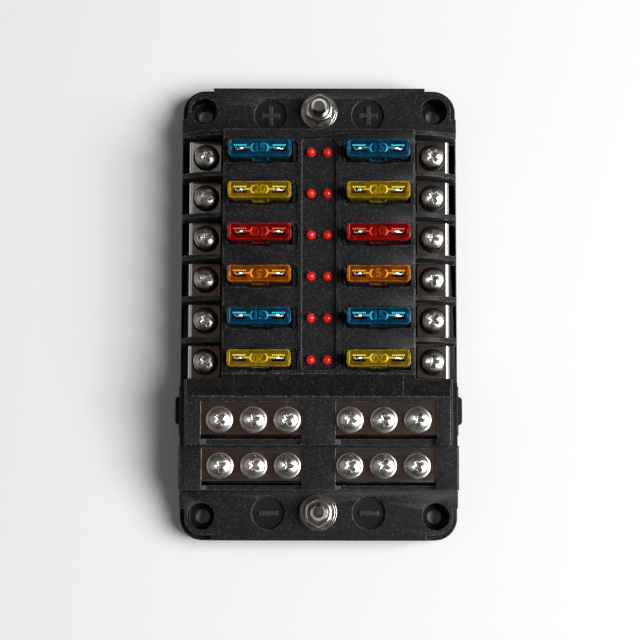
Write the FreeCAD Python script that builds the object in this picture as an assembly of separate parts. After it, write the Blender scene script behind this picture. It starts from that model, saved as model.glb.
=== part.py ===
"""Blade fuse block: twelve fused outputs in two columns, and a stepped negative bus at the front.

Frame: X across, Y along (positive stud at +Y), Z up. The origin is the bottom centre of the block.
All sizes are in millimetres.
"""
import FreeCAD, Part
import math
import os

V = FreeCAD.Vector

# Housing walls
corner_radius = 7.0
wall = 2.2
fit_gap = 0.15

# Housing levels, each above the one before
base_plate_thickness = 1.6
ledge_z = 6.3
base_ceiling_z = 7.5
bay_floor_thickness = 1.5
roof_thickness = 3.0
seat_rise = 5.8
terrace_2_rise = 5.5
step_rise = 5.0
ramp_rise = 5.0
divider_sink = 1.5

# Corner relief of the end plates
relief_depth = 1.7
relief_x_inset = 9.8
relief_y_inset = 9.85

# Mounting holes
mount_x_inset = 6.8
mount_y_inset = 7.35
mount_hole_r = 2.2
mount_bore_r = 4.15
mount_bore_floor_z = 3.0
mount_boss_r = 5.9

# Fuse block
pitch = 12.7
row_count = 6
back_divider_inset = 0.8
block_wall = 2.0
block_side_rim = 1.4
block_front_rim = 0.75
block_edge = 0.4
ramp_side_inset = 3.7
ramp_run = 6.5
ramp_foot = 1.7
apron_drop = 0.25

# Blade fuse
fuse_width = 19.1
fuse_thickness = 5.0
fuse_crown_height = 5.2
fuse_height = 10.8
fuse_skirt_width = 16.6
fuse_skirt_thickness = 3.8
fuse_corner = 0.9
fuse_window_x = 5.75
fuse_window_width = 4.0
fuse_window_depth = 2.2
fuse_bracket_width = 5.3
fuse_bracket_thickness = 4.7
fuse_post_width = 0.9
fuse_post_thickness = 4.3
blade_spacing = 9.7
blade_width = 5.2
blade_thickness = 0.8
blade_length = 7.7
link_height = 1.3
link_arch = 2.2
element_top_gap = 1.8

# Fuse pocket
recess_depth = 1.0
recess_half_y = 3.5
recess_rib = 1.2
recess_rim = 1.5
recess_corner = 1.5
pocket_depth = 3.8
pocket_end_gap = 0.45
pocket_side_gap = 0.5
pocket_floor = 1.7
notch_top_width = 8.1
notch_bottom_width = 6.0
notch_wall = 0.15
slot_margin = 0.25

# Spring clips
clip_gap = 0.05
clip_leaf = 0.5
clip_foot = 0.85
clip_side_margin = 0.2
clip_flare = 0.5
clip_mouth = 1.5
clip_grip = 1.5
clip_top_gap = 0.3

# Lamp panel, lamps and circuit board
panel_half_x = 5.2
panel_depth = 1.0
panel_corner = 1.2
panel_back_inset = 3.0
panel_front_inset = 1.0
panel_thickness = 1.6
lamp_x = 2.53
lamp_r = 1.5
lamp_rise = 1.8
lamp_hole_gap = 0.1
board_thickness = 1.6
board_drop = 1.9
board_half_width = 6.2
board_side_gap = 0.4
peg_r = 0.9
peg_shoulder_r = 1.6
peg_reach = 0.7
resistor_length = 3.2
resistor_width = 1.6
resistor_height = 0.6

# Screws, each with a captive spring washer and flat washer
screw_r = 1.95
screw_hole_gap = 0.05
screw_head_r = 3.4
screw_head_height = 2.4
screw_head_edge = 0.7
screw_washer_r = 4.05
screw_washer_stack = 1.8
terminal_screw_end_gap = 0.7
bus_screw_length = 8.0
screw_nut_half = 2.75
screw_nut_height = 1.6
screw_nut_gap = 0.15

# Wire bays and dividers
divider_thickness = 1.4
divider_outer_inset = 0.65
divider_flat = 0.7
divider_drop = 6.4
bay_ledge = 2.75

# Output terminals
sheet = 1.2
terminal_block_gap = 1.0
terminal_side_gap = 0.65
terminal_inner_margin = 0.55
terminal_outer_margin = 1.2
terminal_bend = 1.15
terminal_corner = 1.0
terminal_leg_width = 6.0
leg_gap = 0.1

# Terraces and negative bus
terrace_1_back_gap = 0.65
terrace_1_side_inset = 2.1
terrace_edge = 0.8
window_inner_x = 5.2
window_side_wall = 5.0
window_margin = 3.1
window_2_gap = 0.95
window_skin = 1.0
lip_1 = 1.8
lip_2 = 1.4
lip_drop = 1.6
lip_ramp = 1.6
lip_ramp_rise = 0.6
bar_front_gap = 0.4
bar_bend = 1.1
bar_side_lap = 0.8
bar_back_lap = 0.5
bus_cavity_gap = 0.3
bus_screw_count = 3
bus_screw_inner_margin = 0.25
bus_screw_outer_margin = 1.65
bus_screw_1_margin = 1.35
bus_screw_2_margin = 1.2
tongue_half_width = 5.0
tongue_end_gap = 0.35

# Power studs
positive_stud_inset = 7.6
negative_stud_inset = 8.6
positive_washer_gap = 2.8
negative_washer_gap = 1.15
stud_r = 2.5
stud_tip = 3.5
stud_chamfer = 0.7
stud_head_across = 8.0
stud_head_height = 2.6
stud_hole_gap = 0.1
nut_across = 8.0
nut_height = 4.0
nut_bore_gap = 0.05
nut_edge = 0.5
positive_nut_turn = 25.0
negative_nut_turn = 30.0
lower_washer_r = 5.7
lower_washer_thickness = 0.8
upper_washer_r = 5.1
upper_washer_thickness = 1.0
washer_hole_gap = 0.2

# Polarity discs
positive_disc_x = 15.3
negative_disc_x = 15.5
positive_disc_inset = 8.5
negative_disc_inset = 8.45
disc_r = 5.15
disc_depth = 1.2
sign_height = 0.7
sign_arm = 5.8
sign_width = 1.25

# Latch tabs of the cover
latch_reach = 1.6
latch_length = 8.8
latch_back_gap = 4.4
latch_low_z = 3.4
latch_high_z = 8.2
latch_corner = 1.2
latch_strip_reach = 0.6
latch_strip_margin = 3.2

# Levels
bay_floor_z = base_ceiling_z + bay_floor_thickness
end_plate_z = base_ceiling_z + roof_thickness
plate_seat_z = bay_floor_z + seat_rise
terrace_2_z = end_plate_z + terrace_2_rise
terrace_1_z = terrace_2_z + step_rise
block_z = terrace_1_z + ramp_rise
divider_z = block_z - divider_sink
pocket_floor_z = block_z - pocket_depth
pocket_under_z = pocket_floor_z - pocket_floor
fuse_top_z = pocket_floor_z + fuse_height
panel_z = block_z - panel_depth
panel_under_z = panel_z - panel_thickness
board_top_z = panel_under_z - board_drop
board_under_z = board_top_z - board_thickness
leg_low_z = base_ceiling_z - sheet
terminal_top_z = plate_seat_z + sheet
terminal_screw_length = terminal_top_z + screw_washer_stack - base_ceiling_z - terminal_screw_end_gap
bar_1_z = terrace_1_z - window_skin
bar_2_z = terrace_2_z - window_skin
stack_z = end_plate_z + lower_washer_thickness + upper_washer_thickness
stud_top_z = stack_z + nut_height + stud_tip

# Places across, from the middle outward: panel, fuse, side of the block, terminal, side of the body
channel_half_width = board_half_width + board_side_gap
recess_inner_x = panel_half_x + recess_rib
pocket_half_width = fuse_width / 2 + pocket_end_gap
pocket_half_y = fuse_thickness / 2 + pocket_side_gap
notch_depth = recess_half_y - pocket_half_y + notch_wall
fuse_x = recess_inner_x + recess_rim + pocket_half_width
clip_width = blade_width - 2 * clip_side_margin
block_half_width = fuse_x + pocket_half_width + block_side_rim
ramp_half_width = block_half_width - ramp_side_inset
terminal_width = pitch - divider_thickness - 2 * terminal_side_gap
terminal_inner_x = block_half_width + terminal_block_gap
terminal_screw_x = terminal_inner_x + terminal_inner_margin + screw_washer_r
terminal_outer_x = terminal_screw_x + screw_washer_r + terminal_outer_margin
bay_block_x = terminal_outer_x - sheet
half_width = terminal_outer_x + bay_ledge
divider_outer_x = half_width - divider_outer_inset
divider_arc_x = block_half_width + divider_flat
mount_hole_x = half_width - mount_x_inset
relief_x = half_width - relief_x_inset
terrace_1_half_width = half_width - terrace_1_side_inset
window_outer_x = terrace_1_half_width - window_side_wall
bar_half_width = window_outer_x + bar_side_lap
bus_screw_first_x = window_inner_x + screw_washer_r + bus_screw_inner_margin
bus_screw_last_x = window_outer_x - screw_washer_r - bus_screw_outer_margin
bus_screw_pitch = (bus_screw_last_x - bus_screw_first_x) / (bus_screw_count - 1)
bus_screw_xs = [bus_screw_first_x + bus_screw_pitch * k for k in range(bus_screw_count)]

# Places along, first as depths from the back end: end plate, rows, ramp, step, front end plate
back_plate_depth = positive_stud_inset + lower_washer_r + positive_washer_gap
front_plate_depth = negative_stud_inset + lower_washer_r + negative_washer_gap
window_length = 2 * screw_washer_r + window_margin
first_row_depth = back_plate_depth + back_divider_inset + pitch / 2
last_row_depth = first_row_depth + pitch * (row_count - 1)
block_front_depth = last_row_depth + recess_half_y + block_front_rim
window_1_depth = block_front_depth + ramp_run + ramp_foot
step_depth = window_1_depth + window_length + lip_1
window_2_depth = step_depth + window_2_gap
terrace_end_depth = window_2_depth + window_length + lip_2
half_length = (terrace_end_depth + front_plate_depth) / 2
block_back_y = half_length - back_plate_depth
first_row_y = half_length - first_row_depth
last_row_y = half_length - last_row_depth
row_ys = [first_row_y - pitch * k for k in range(row_count)]
block_front_y = half_length - block_front_depth
ramp_end_y = block_front_y - ramp_run
terrace_1_back_y = last_row_y - terminal_width / 2 - terrace_1_back_gap
window_1_back_y = half_length - window_1_depth
terrace_1_front_y = half_length - step_depth
window_2_back_y = half_length - window_2_depth
terrace_2_front_y = half_length - terrace_end_depth
lip_1_back_y = terrace_1_front_y + lip_1
lip_2_back_y = terrace_2_front_y + lip_2
bar_1_front_y = lip_1_back_y + bar_front_gap
bar_2_front_y = lip_2_back_y + bar_front_gap
bus_screw_1_y = window_1_back_y - screw_washer_r - bus_screw_1_margin
bus_screw_2_y = window_2_back_y - screw_washer_r - bus_screw_2_margin
positive_stud_y = half_length - positive_stud_inset
negative_stud_y = negative_stud_inset - half_length
positive_disc_y = half_length - positive_disc_inset
negative_disc_y = negative_disc_inset - half_length
tongue_end_y = half_length - wall - tongue_end_gap
mount_hole_y = half_length - mount_y_inset
relief_y = half_length - relief_y_inset
latch_back_y = terrace_1_back_y - latch_back_gap
latch_front_y = latch_back_y - latch_length
sides = (-1, 1)
over = 1.0
tiny = 1e-6


def box(x0, x1, y0, y1, z0, z1):
    """A box between two corners, given in any order along each axis."""
    low = V(min(x0, x1), min(y0, y1), min(z0, z1))
    return Part.makeBox(abs(x1 - x0), abs(y1 - y0), abs(z1 - z0), low)


def side_box(side, x0, x1, y0, y1, z0, z1):
    """A box on the left (side -1) or the right (side 1)."""
    return box(side * x0, side * x1, y0, y1, z0, z1)


def rod(x, y, r, z0, z1):
    """An upright cylinder."""
    return Part.makeCylinder(r, z1 - z0, V(x, y, z0))


def prism_z(points, z0, z1):
    """An upright prism on a closed outline in X and Y."""
    corners = [V(x, y, z0) for x, y in points]
    return Part.Face(Part.makePolygon(corners + corners[:1])).extrude(V(0, 0, z1 - z0))


def prism_y(points, y0, y1):
    """A prism along Y on a closed outline in X and Z."""
    corners = [V(x, y0, z) for x, z in points]
    return Part.Face(Part.makePolygon(corners + corners[:1])).extrude(V(0, y1 - y0, 0))


def prism_x(points, x0, x1):
    """A prism along X on a closed outline in Y and Z."""
    corners = [V(x0, y, z) for y, z in points]
    return Part.Face(Part.makePolygon(corners + corners[:1])).extrude(V(x1 - x0, 0, 0))


def rounded_slab(hx, y0, y1, r, z0, z1):
    """A slab, centred on X = 0, with four round upright corners."""
    slab = box(-hx, hx, y0, y1, z0, z1)
    return slab.makeFillet(r, upright_edges(slab))


def upright_edges(shape):
    """The straight edges of a shape that run along Z."""
    found = []
    for edge in shape.Edges:
        low, high = edge.Vertexes[0].Point, edge.Vertexes[-1].Point
        if abs(low.x - high.x) < tiny and abs(low.y - high.y) < tiny:
            found.append(edge)
    return found


def lies_at_x(edge, x):
    """Whether a straight edge lies in the plane at that X."""
    return all(abs(vertex.X - x) < tiny for vertex in edge.Vertexes)


def runs_on(edge, y, z):
    """Whether an edge runs along X at that Y and Z."""
    return all(abs(vertex.Y - y) < tiny and abs(vertex.Z - z) < tiny for vertex in edge.Vertexes)


def turned(points, x, y):
    """A solid of revolution about an upright axis, from an outline in radius and Z."""
    corners = [V(r, 0, z) for r, z in points]
    solid = Part.Face(Part.makePolygon(corners + corners[:1])).revolve(V(0, 0, 0), V(0, 0, 1), 360)
    solid.translate(V(x, y, 0))
    return solid


def joined(shapes):
    """One solid from pieces that touch or overlap."""
    first, rest = shapes[0], shapes[1:]
    return first.multiFuse(rest).removeSplitter()


def hexagon(across, x, y, z0, z1, turn):
    """A hexagon prism; turn is the angle of its first corner."""
    reach = across / math.sqrt(3)
    corners = []
    for k in range(6):
        angle = math.radians(turn + 60 * k)
        corners.append((x + reach * math.cos(angle), y + reach * math.sin(angle)))
    return prism_z(corners, z0, z1)


def divider_y_ranges():
    """The Y range of each divider: one behind the first row, then one between two rows."""
    ranges = []
    for k in range(row_count):
        middle = first_row_y + pitch * (0.5 - k)
        ranges.append((middle - divider_thickness / 2, middle + divider_thickness / 2))
    return ranges


def divider(side, y0, y1):
    """One divider of the wire bays: level beside the block, then falling in one arc to its outer end."""
    x0, x1, x2 = block_half_width - over, divider_arc_x, divider_outer_x
    end_z = divider_z - divider_drop
    run = x2 - x1
    angle = 2 * math.atan2(divider_drop, run)
    radius = run / math.sin(angle)
    middle = V(side * (x1 + radius * math.sin(angle / 2)), y0,
               divider_z - radius * (1 - math.cos(angle / 2)))
    start = V(side * x1, y0, divider_z)
    end = V(side * x2, y0, end_z)
    edges = [
        Part.LineSegment(V(side * x0, y0, ledge_z), V(side * x0, y0, divider_z)).toShape(),
        Part.LineSegment(V(side * x0, y0, divider_z), start).toShape(),
        Part.Arc(start, middle, end).toShape(),
        Part.LineSegment(end, V(side * x2, y0, ledge_z)).toShape(),
        Part.LineSegment(V(side * x2, y0, ledge_z), V(side * x0, y0, ledge_z)).toShape(),
    ]
    return Part.Face(Part.Wire(edges)).extrude(V(0, y1 - y0, 0))


def end_plate(y_inner, y_outer):
    """One raised end plate, cut back along its two round corners."""
    plate = rounded_slab(half_width, -half_length, half_length, corner_radius, ledge_z, end_plate_z)
    inner = rounded_slab(half_width - relief_depth, relief_depth - half_length, half_length - relief_depth,
                         corner_radius - relief_depth, ledge_z, end_plate_z)
    plate = plate.common(box(-half_width, half_width, y_inner, y_outer, ledge_z, end_plate_z))
    way = 1 if y_outer > 0 else -1
    for side in sides:
        corner = side_box(side, relief_x, half_width, way * relief_y, way * half_length, ledge_z, end_plate_z)
        plate = plate.cut(corner.cut(inner))
    return plate


def slope(half_x, y, drop):
    """A slope over that half width, from a rear Y down to the upper terrace, sunk at its top by drop."""
    steepness = (block_z - drop - terrace_1_z) / ramp_run
    rear_z = terrace_1_z + steepness * (y - ramp_end_y)
    return prism_x([(y, terrace_1_z - over), (y, rear_z), (ramp_end_y, terrace_1_z),
                    (ramp_end_y, terrace_1_z - over)], -half_x, half_x)


def terraces():
    """The two steps over the negative bus, with the apron that slopes down to them from the block."""
    t, e = terrace_1_half_width, terrace_edge
    upper = prism_y([(-t, ledge_z), (-t, terrace_1_z - e), (e - t, terrace_1_z), (t - e, terrace_1_z),
                     (t, terrace_1_z - e), (t, ledge_z)], terrace_1_front_y, terrace_1_back_y)
    w = half_width
    e = terrace_edge / 2
    lower = prism_y([(-w, ledge_z), (-w, terrace_2_z - e), (e - w, terrace_2_z), (w - e, terrace_2_z),
                     (w, terrace_2_z - e), (w, ledge_z)], terrace_2_front_y, terrace_1_front_y)
    ledge = box(-w, w, terrace_1_front_y, terrace_1_back_y, ledge_z, end_plate_z)
    apron = slope(t - terrace_edge, terrace_1_back_y, apron_drop)
    return [upper, lower, ledge, apron]


def fuse_block():
    """The raised block that holds the fuses, with a ramp down to the upper terrace."""
    w, e = block_half_width, block_edge
    body = prism_y([(-w, ledge_z), (-w, block_z - e), (e - w, block_z), (w - e, block_z),
                    (w, block_z - e), (w, ledge_z)], block_front_y, block_back_y)
    ramp = slope(ramp_half_width, block_front_y, 0)
    apron = slope(w, block_front_y, apron_drop)
    fill = box(-w, w, terrace_1_back_y, block_front_y, ledge_z, terrace_1_z)
    return [body, ramp, apron, fill]


def fuse_pocket(side, y):
    """What is cut out of the block for one fuse: recess, pocket, finger notch and two blade slots."""
    recess = side_box(side, recess_inner_x, block_half_width + over, y - recess_half_y, y + recess_half_y,
                      block_z - recess_depth, block_z + over)
    inner_edges = [e for e in upright_edges(recess) if abs(e.Vertexes[0].X) < recess_inner_x + over]
    recess = recess.makeFillet(recess_corner, inner_edges)
    pocket = box(side * fuse_x - pocket_half_width, side * fuse_x + pocket_half_width,
                 y - pocket_half_y, y + pocket_half_y, pocket_floor_z, block_z)
    top, bottom = notch_top_width / 2, notch_bottom_width / 2
    edge_y = y - pocket_half_y
    x = side * fuse_x
    notch = prism_z([(x - top, edge_y + over), (x + top, edge_y + over), (x + top, edge_y),
                     (x + bottom, edge_y - notch_depth), (x - bottom, edge_y - notch_depth),
                     (x - top, edge_y)], pocket_floor_z, block_z)
    slots = []
    for blade in sides:
        middle = x + blade * blade_spacing / 2
        half_x = blade_width / 2 + slot_margin
        half_y = blade_thickness / 2 + slot_margin
        slots.append(box(middle - half_x, middle + half_x, y - half_y, y + half_y,
                         pocket_under_z - over, pocket_floor_z + over))
    return [recess, pocket, notch] + slots


def lamp_panel():
    """What is cut out of the block for the sunk lamp panel and its lamp holes."""
    sunk = rounded_slab(panel_half_x, block_front_y + panel_front_inset, block_back_y - panel_back_inset,
                        panel_corner, panel_z, block_z + over)
    holes = []
    for y in row_ys:
        for side in sides:
            holes.append(rod(side * lamp_x, y, lamp_r + lamp_hole_gap, panel_under_z - over, panel_z + over))
    return [sunk] + holes


def peg_ys():
    """Where the pegs of the circuit board stand: between every second pair of rows."""
    return [row_ys[k] - pitch / 2 for k in range(0, row_count - 1, 2)]


def board_pegs():
    """Pegs under the lamp panel that carry the circuit board."""
    pegs = []
    for y in peg_ys():
        pegs.append(rod(0, y, peg_shoulder_r, board_top_z, panel_under_z + over))
        pegs.append(rod(0, y, peg_r, board_under_z - peg_reach, board_top_z))
    return pegs


def hollow():
    """The open inside of the housing, reached from below."""
    inner = rounded_slab(half_width - wall, wall - half_length, half_length - wall, corner_radius - wall,
                         -over, base_ceiling_z)
    for sx in sides:
        for sy in sides:
            inner = inner.cut(rod(sx * mount_hole_x, sy * mount_hole_y, mount_boss_r, -over, base_ceiling_z))
    inner_x = block_half_width - block_wall
    clips = box(-inner_x, inner_x, block_front_y + block_wall, block_back_y - block_wall,
                base_ceiling_z - over, pocket_under_z)
    channel = box(-channel_half_width, channel_half_width, block_front_y + block_wall,
                  block_back_y - block_wall, pocket_under_z - over, panel_under_z)
    bus_x = bar_half_width + bus_cavity_gap
    upper = box(-bus_x, bus_x, lip_1_back_y, window_1_back_y + bar_back_lap + bus_cavity_gap,
                base_ceiling_z - over, bar_1_z)
    lower = box(-bus_x, bus_x, lip_2_back_y, lip_1_back_y + over, base_ceiling_z - over, bar_2_z)
    return [inner, clips, channel, upper, lower]


def bus_windows():
    """The four windows over the negative bus, each with a low lip that ramps up at its two ends."""
    cuts = []
    for back, lip_back, front, top in (
            (window_1_back_y, lip_1_back_y, terrace_1_front_y, terrace_1_z),
            (window_2_back_y, lip_2_back_y, terrace_2_front_y, terrace_2_z)):
        for side in sides:
            cuts.append(side_box(side, window_inner_x, window_outer_x, back, lip_back,
                                 top - window_skin - over, top + over))
            low = top - lip_drop
            outline = [(window_inner_x, top + over), (window_inner_x, low + lip_ramp_rise),
                       (window_inner_x + lip_ramp, low), (window_outer_x - lip_ramp, low),
                       (window_outer_x, low + lip_ramp_rise), (window_outer_x, top + over)]
            cuts.append(prism_y([(side * x, z) for x, z in outline], front - over, lip_back))
    return cuts


def mounting_holes():
    """Four counterbored holes for the block's own fixing screws."""
    cuts = []
    for sx in sides:
        for sy in sides:
            x, y = sx * mount_hole_x, sy * mount_hole_y
            cuts.append(rod(x, y, mount_hole_r, -over, end_plate_z + over))
            cuts.append(rod(x, y, mount_bore_r, mount_bore_floor_z, end_plate_z + over))
    return cuts


def terminal_cuts():
    """Square screw wells and leg slots for the output terminals."""
    cuts = []
    well = screw_nut_half + screw_nut_gap
    leg_half = terminal_width / 2 + leg_gap
    for side in sides:
        for y in row_ys:
            x = side * terminal_screw_x
            cuts.append(box(x - well, x + well, y - well, y + well,
                            base_ceiling_z - over, plate_seat_z + over))
            cuts.append(side_box(side, bay_block_x, terminal_outer_x + leg_gap, y - leg_half, y + leg_half,
                                 base_ceiling_z - over, plate_seat_z))
    return cuts


def polarity_discs():
    """Sunk discs beside the studs: what is cut, and the plus and minus bars left standing."""
    cuts, bars = [], []
    floor = end_plate_z - disc_depth
    for side in sides:
        x, y = side * positive_disc_x, positive_disc_y
        cuts.append(rod(x, y, disc_r, floor, end_plate_z + over))
        bars.append(box(x - sign_arm / 2, x + sign_arm / 2, y - sign_width / 2, y + sign_width / 2,
                        floor, floor + sign_height))
        bars.append(box(x - sign_width / 2, x + sign_width / 2, y - sign_arm / 2, y + sign_arm / 2,
                        floor, floor + sign_height))
        x, y = side * negative_disc_x, negative_disc_y
        cuts.append(rod(x, y, disc_r, floor, end_plate_z + over))
        bars.append(box(x - sign_arm / 2, x + sign_arm / 2, y - sign_width / 2, y + sign_width / 2,
                        floor, floor + sign_height))
    return cuts, bars


def latch_tabs():
    """Tabs on the two long sides that the cover snaps over, each on a thin strip."""
    tabs = []
    for side in sides:
        tab = side_box(side, half_width - over, half_width + latch_reach, latch_front_y, latch_back_y,
                       latch_low_z, latch_high_z)
        outer = [e for e in upright_edges(tab) if abs(e.Vertexes[0].X) > half_width]
        tabs.append(tab.makeFillet(latch_corner, outer))
        tabs.append(side_box(side, half_width - over, half_width + latch_strip_reach,
                             latch_front_y - latch_strip_margin, latch_back_y + latch_strip_margin,
                             latch_low_z, ledge_z))
    return tabs


def stake_points():
    """Where the housing's stakes pass through the base plate."""
    x = mount_hole_x - 2 * mount_boss_r
    return [(sx * x, sy * (half_length - wall - mount_boss_r)) for sx in sides for sy in sides]


def housing():
    """The one moulded body of the block."""
    slab = rounded_slab(half_width, -half_length, half_length, corner_radius, 0, ledge_z)
    bays = []
    x0, y0, y1 = block_half_width - over, terrace_1_back_y, block_back_y
    for side in sides:
        bays.append(side_box(side, x0, half_width, y0, y1, ledge_z, bay_floor_z))
        bays.append(side_box(side, x0, bay_block_x, y0, y1, ledge_z, plate_seat_z))
    dividers = [divider(side, low, high) for side in sides for low, high in divider_y_ranges()]
    plates = [end_plate(block_back_y, half_length), end_plate(-half_length, terrace_2_front_y)]
    body = joined([slab] + plates + bays + dividers + fuse_block() + terraces() + latch_tabs())
    discs, bars = polarity_discs()
    cuts = hollow() + lamp_panel() + bus_windows() + mounting_holes() + terminal_cuts() + discs
    for side in sides:
        for y in row_ys:
            cuts += fuse_pocket(side, y)
    for y in (positive_stud_y, negative_stud_y):
        cuts.append(rod(0, y, stud_r + stud_hole_gap, 0, end_plate_z + over))
    body = body.cut(cuts)
    stakes = [rod(x, y, peg_r, 0, base_ceiling_z + over) for x, y in stake_points()]
    return body.multiFuse(bars + board_pegs() + stakes).removeSplitter()


def base_plate():
    """The flat plate that closes the underside, with ribs that press the metal up into place."""
    inset = wall + fit_gap
    plate = rounded_slab(half_width - inset, inset - half_length, half_length - inset,
                         corner_radius - inset, 0, base_plate_thickness)
    for sx in sides:
        for sy in sides:
            plate = plate.cut(rod(sx * mount_hole_x, sy * mount_hole_y, mount_boss_r + fit_gap,
                                  -over, base_plate_thickness + over))
    for x, y in stake_points():
        plate = plate.cut(rod(x, y, peg_r + fit_gap, -over, base_plate_thickness + over))
    ribs = []
    for side in sides:
        for x in (fuse_x - blade_spacing / 2, fuse_x + blade_spacing / 2):
            ribs.append(side_box(side, x - sheet / 2, x + sheet / 2, last_row_y - clip_width,
                                 first_row_y + clip_width, base_plate_thickness / 2, leg_low_z))
    return joined([plate] + ribs)


def clip(x, y):
    """Two spring leaves that grip one fuse blade, pinched near the top and flared at the mouth."""
    grip = blade_thickness / 2 + clip_gap
    top = pocket_under_z - clip_top_gap
    mouth = top - clip_mouth
    throat = mouth - clip_grip
    foot = grip + clip_foot
    outline = [(foot, base_ceiling_z - sheet / 2), (grip, throat), (grip, mouth), (grip + clip_flare, top),
               (grip + clip_flare + clip_leaf, top), (grip + clip_leaf, mouth), (grip + clip_leaf, throat),
               (foot + clip_leaf, base_ceiling_z - sheet / 2)]
    leaves = []
    for way in sides:
        leaves.append(prism_x([(y + way * d, z) for d, z in outline], x - clip_width / 2, x + clip_width / 2))
    return leaves


def positive_bus():
    """One copper sheet under both fuse columns, with twelve clips and a tongue to the stud."""
    half = fuse_x - blade_spacing / 2 + clip_width / 2 + sheet
    strip = box(-half, half, last_row_y - clip_width, first_row_y + clip_width, leg_low_z, base_ceiling_z)
    tongue = box(-tongue_half_width, tongue_half_width, first_row_y, tongue_end_y, leg_low_z, base_ceiling_z)
    leaves = []
    for side in sides:
        for y in row_ys:
            leaves += clip(side * (fuse_x - blade_spacing / 2), y)
    hole = rod(0, positive_stud_y, stud_r + stud_hole_gap, 0, end_plate_z)
    return joined([strip, tongue] + leaves).cut(hole)


def output_terminal(side, y):
    """One output terminal: top plate with a pressed square nut, outer leg, lower leg and outer blade clip."""
    x_in, x_out = side * terminal_inner_x, side * terminal_outer_x
    x_leg = side * bay_block_x
    inner_end = side * (fuse_x + blade_spacing / 2 - clip_width / 2)
    half = terminal_width / 2
    bent = prism_y([(x_in, plate_seat_z), (x_in, terminal_top_z), (x_out, terminal_top_z),
                    (x_out, leg_low_z), (x_leg, leg_low_z), (x_leg, plate_seat_z)], y - half, y + half)
    outer_edges = [edge for edge in bent.Edges if lies_at_x(edge, x_out)]
    bends = [edge for edge in outer_edges if abs(edge.Vertexes[0].Z - edge.Vertexes[-1].Z) < tiny]
    bent = bent.makeFillet(terminal_bend, bends)
    corners = [edge for edge in upright_edges(bent) if lies_at_x(edge, x_in)]
    bent = bent.makeFillet(terminal_corner, corners)
    leg_half = terminal_leg_width / 2
    leg = box(inner_end, x_leg, y - leg_half, y + leg_half, leg_low_z, base_ceiling_z)
    x = side * terminal_screw_x
    nut_half = screw_nut_half
    pressed_nut = box(x - nut_half, x + nut_half, y - nut_half, y + nut_half,
                      plate_seat_z - screw_nut_height, plate_seat_z)
    hole = rod(x, y, screw_r + screw_hole_gap, base_ceiling_z, terminal_top_z + over)
    return joined([bent, leg, pressed_nut] + clip(side * (fuse_x + blade_spacing / 2), y)).cut(hole)


def output_terminals():
    """The twelve output terminals, one separate sheet part for each fuse."""
    return Part.makeCompound([output_terminal(side, y) for side in sides for y in row_ys])


def negative_bus():
    """One stepped sheet under both terraces, with a tongue down to the negative stud."""
    w = bar_half_width
    back = window_1_back_y + bar_back_lap
    profile = [(back, bar_1_z), (bar_1_front_y, bar_1_z), (bar_1_front_y, bar_2_z), (bar_2_front_y, bar_2_z),
               (bar_2_front_y, bar_2_z - sheet), (bar_1_front_y + sheet, bar_2_z - sheet),
               (bar_1_front_y + sheet, bar_1_z - sheet), (back, bar_1_z - sheet)]
    stepped = prism_x(profile, -w, w)
    bends = [edge for edge in stepped.Edges if runs_on(edge, bar_1_front_y, bar_1_z)
             or runs_on(edge, bar_2_front_y, bar_2_z)]
    stepped = stepped.makeFillet(bar_bend, bends)
    t = tongue_half_width
    drop = box(-t, t, bar_2_front_y, bar_2_front_y + sheet, leg_low_z, bar_2_z)
    tongue = box(-t, t, -tongue_end_y, bar_2_front_y + sheet, leg_low_z, base_ceiling_z)
    parts, holes = [stepped, drop, tongue], []
    n, r = screw_nut_half, screw_r + screw_hole_gap
    for side in sides:
        for x in bus_screw_xs:
            for y, z in ((bus_screw_1_y, bar_1_z), (bus_screw_2_y, bar_2_z)):
                under = z - sheet
                parts.append(side_box(side, x - n, x + n, y - n, y + n, under - screw_nut_height, under))
                holes.append(rod(side * x, y, r, under - screw_nut_height - over, z + over))
    holes.append(rod(0, negative_stud_y, stud_r + stud_hole_gap, 0, end_plate_z))
    return joined(parts).cut(holes)


def circuit_board():
    """The narrow board under the lamp panel, with one chip resistor for each lamp below it."""
    y0, y1 = block_front_y + block_wall + fit_gap, block_back_y - block_wall - fit_gap
    board = box(-board_half_width, board_half_width, y0, y1, board_under_z, board_top_z)
    for y in peg_ys():
        board = board.cut(rod(0, y, peg_r + fit_gap, board_under_z - over, board_top_z + over))
    solids = [board]
    for side in sides:
        for y in row_ys:
            x = side * lamp_x
            solids.append(box(x - resistor_width / 2, x + resistor_width / 2, y - resistor_length / 2,
                              y + resistor_length / 2, board_under_z - resistor_height, board_under_z))
    return Part.makeCompound(solids)


def lamp(x, y):
    """One indicator lamp: round body standing on the board, domed tip."""
    top = panel_z + lamp_rise
    straight = top - lamp_r
    tip = V(0, 0, top)
    shoulder = V(lamp_r, 0, straight)
    middle = V(lamp_r * math.sin(math.pi / 4), 0, straight + lamp_r * math.cos(math.pi / 4))
    base = [V(lamp_r, 0, board_top_z), V(0, 0, board_top_z)]
    dome = Part.Arc(tip, middle, shoulder).toShape()
    outline = Part.Wire([dome] + Part.makePolygon([shoulder] + base + [tip]).Edges)
    solid = Part.Face(outline).revolve(V(0, 0, 0), V(0, 0, 1), 360)
    solid.translate(V(x, y, 0))
    return solid


def lamps():
    """The twelve lamps, two to a row."""
    return Part.makeCompound([lamp(side * lamp_x, y) for side in sides for y in row_ys])


def stud(y):
    """One power stud: hexagon head under the bus tongue, plain shank, chamfered free end."""
    shank = turned([(0, leg_low_z), (stud_r, leg_low_z), (stud_r, stud_top_z - stud_chamfer),
                    (stud_r - stud_chamfer, stud_top_z), (0, stud_top_z)], 0, y)
    head = hexagon(stud_head_across, 0, y, leg_low_z - stud_head_height, leg_low_z, 0)
    return joined([shank, head])


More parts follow.
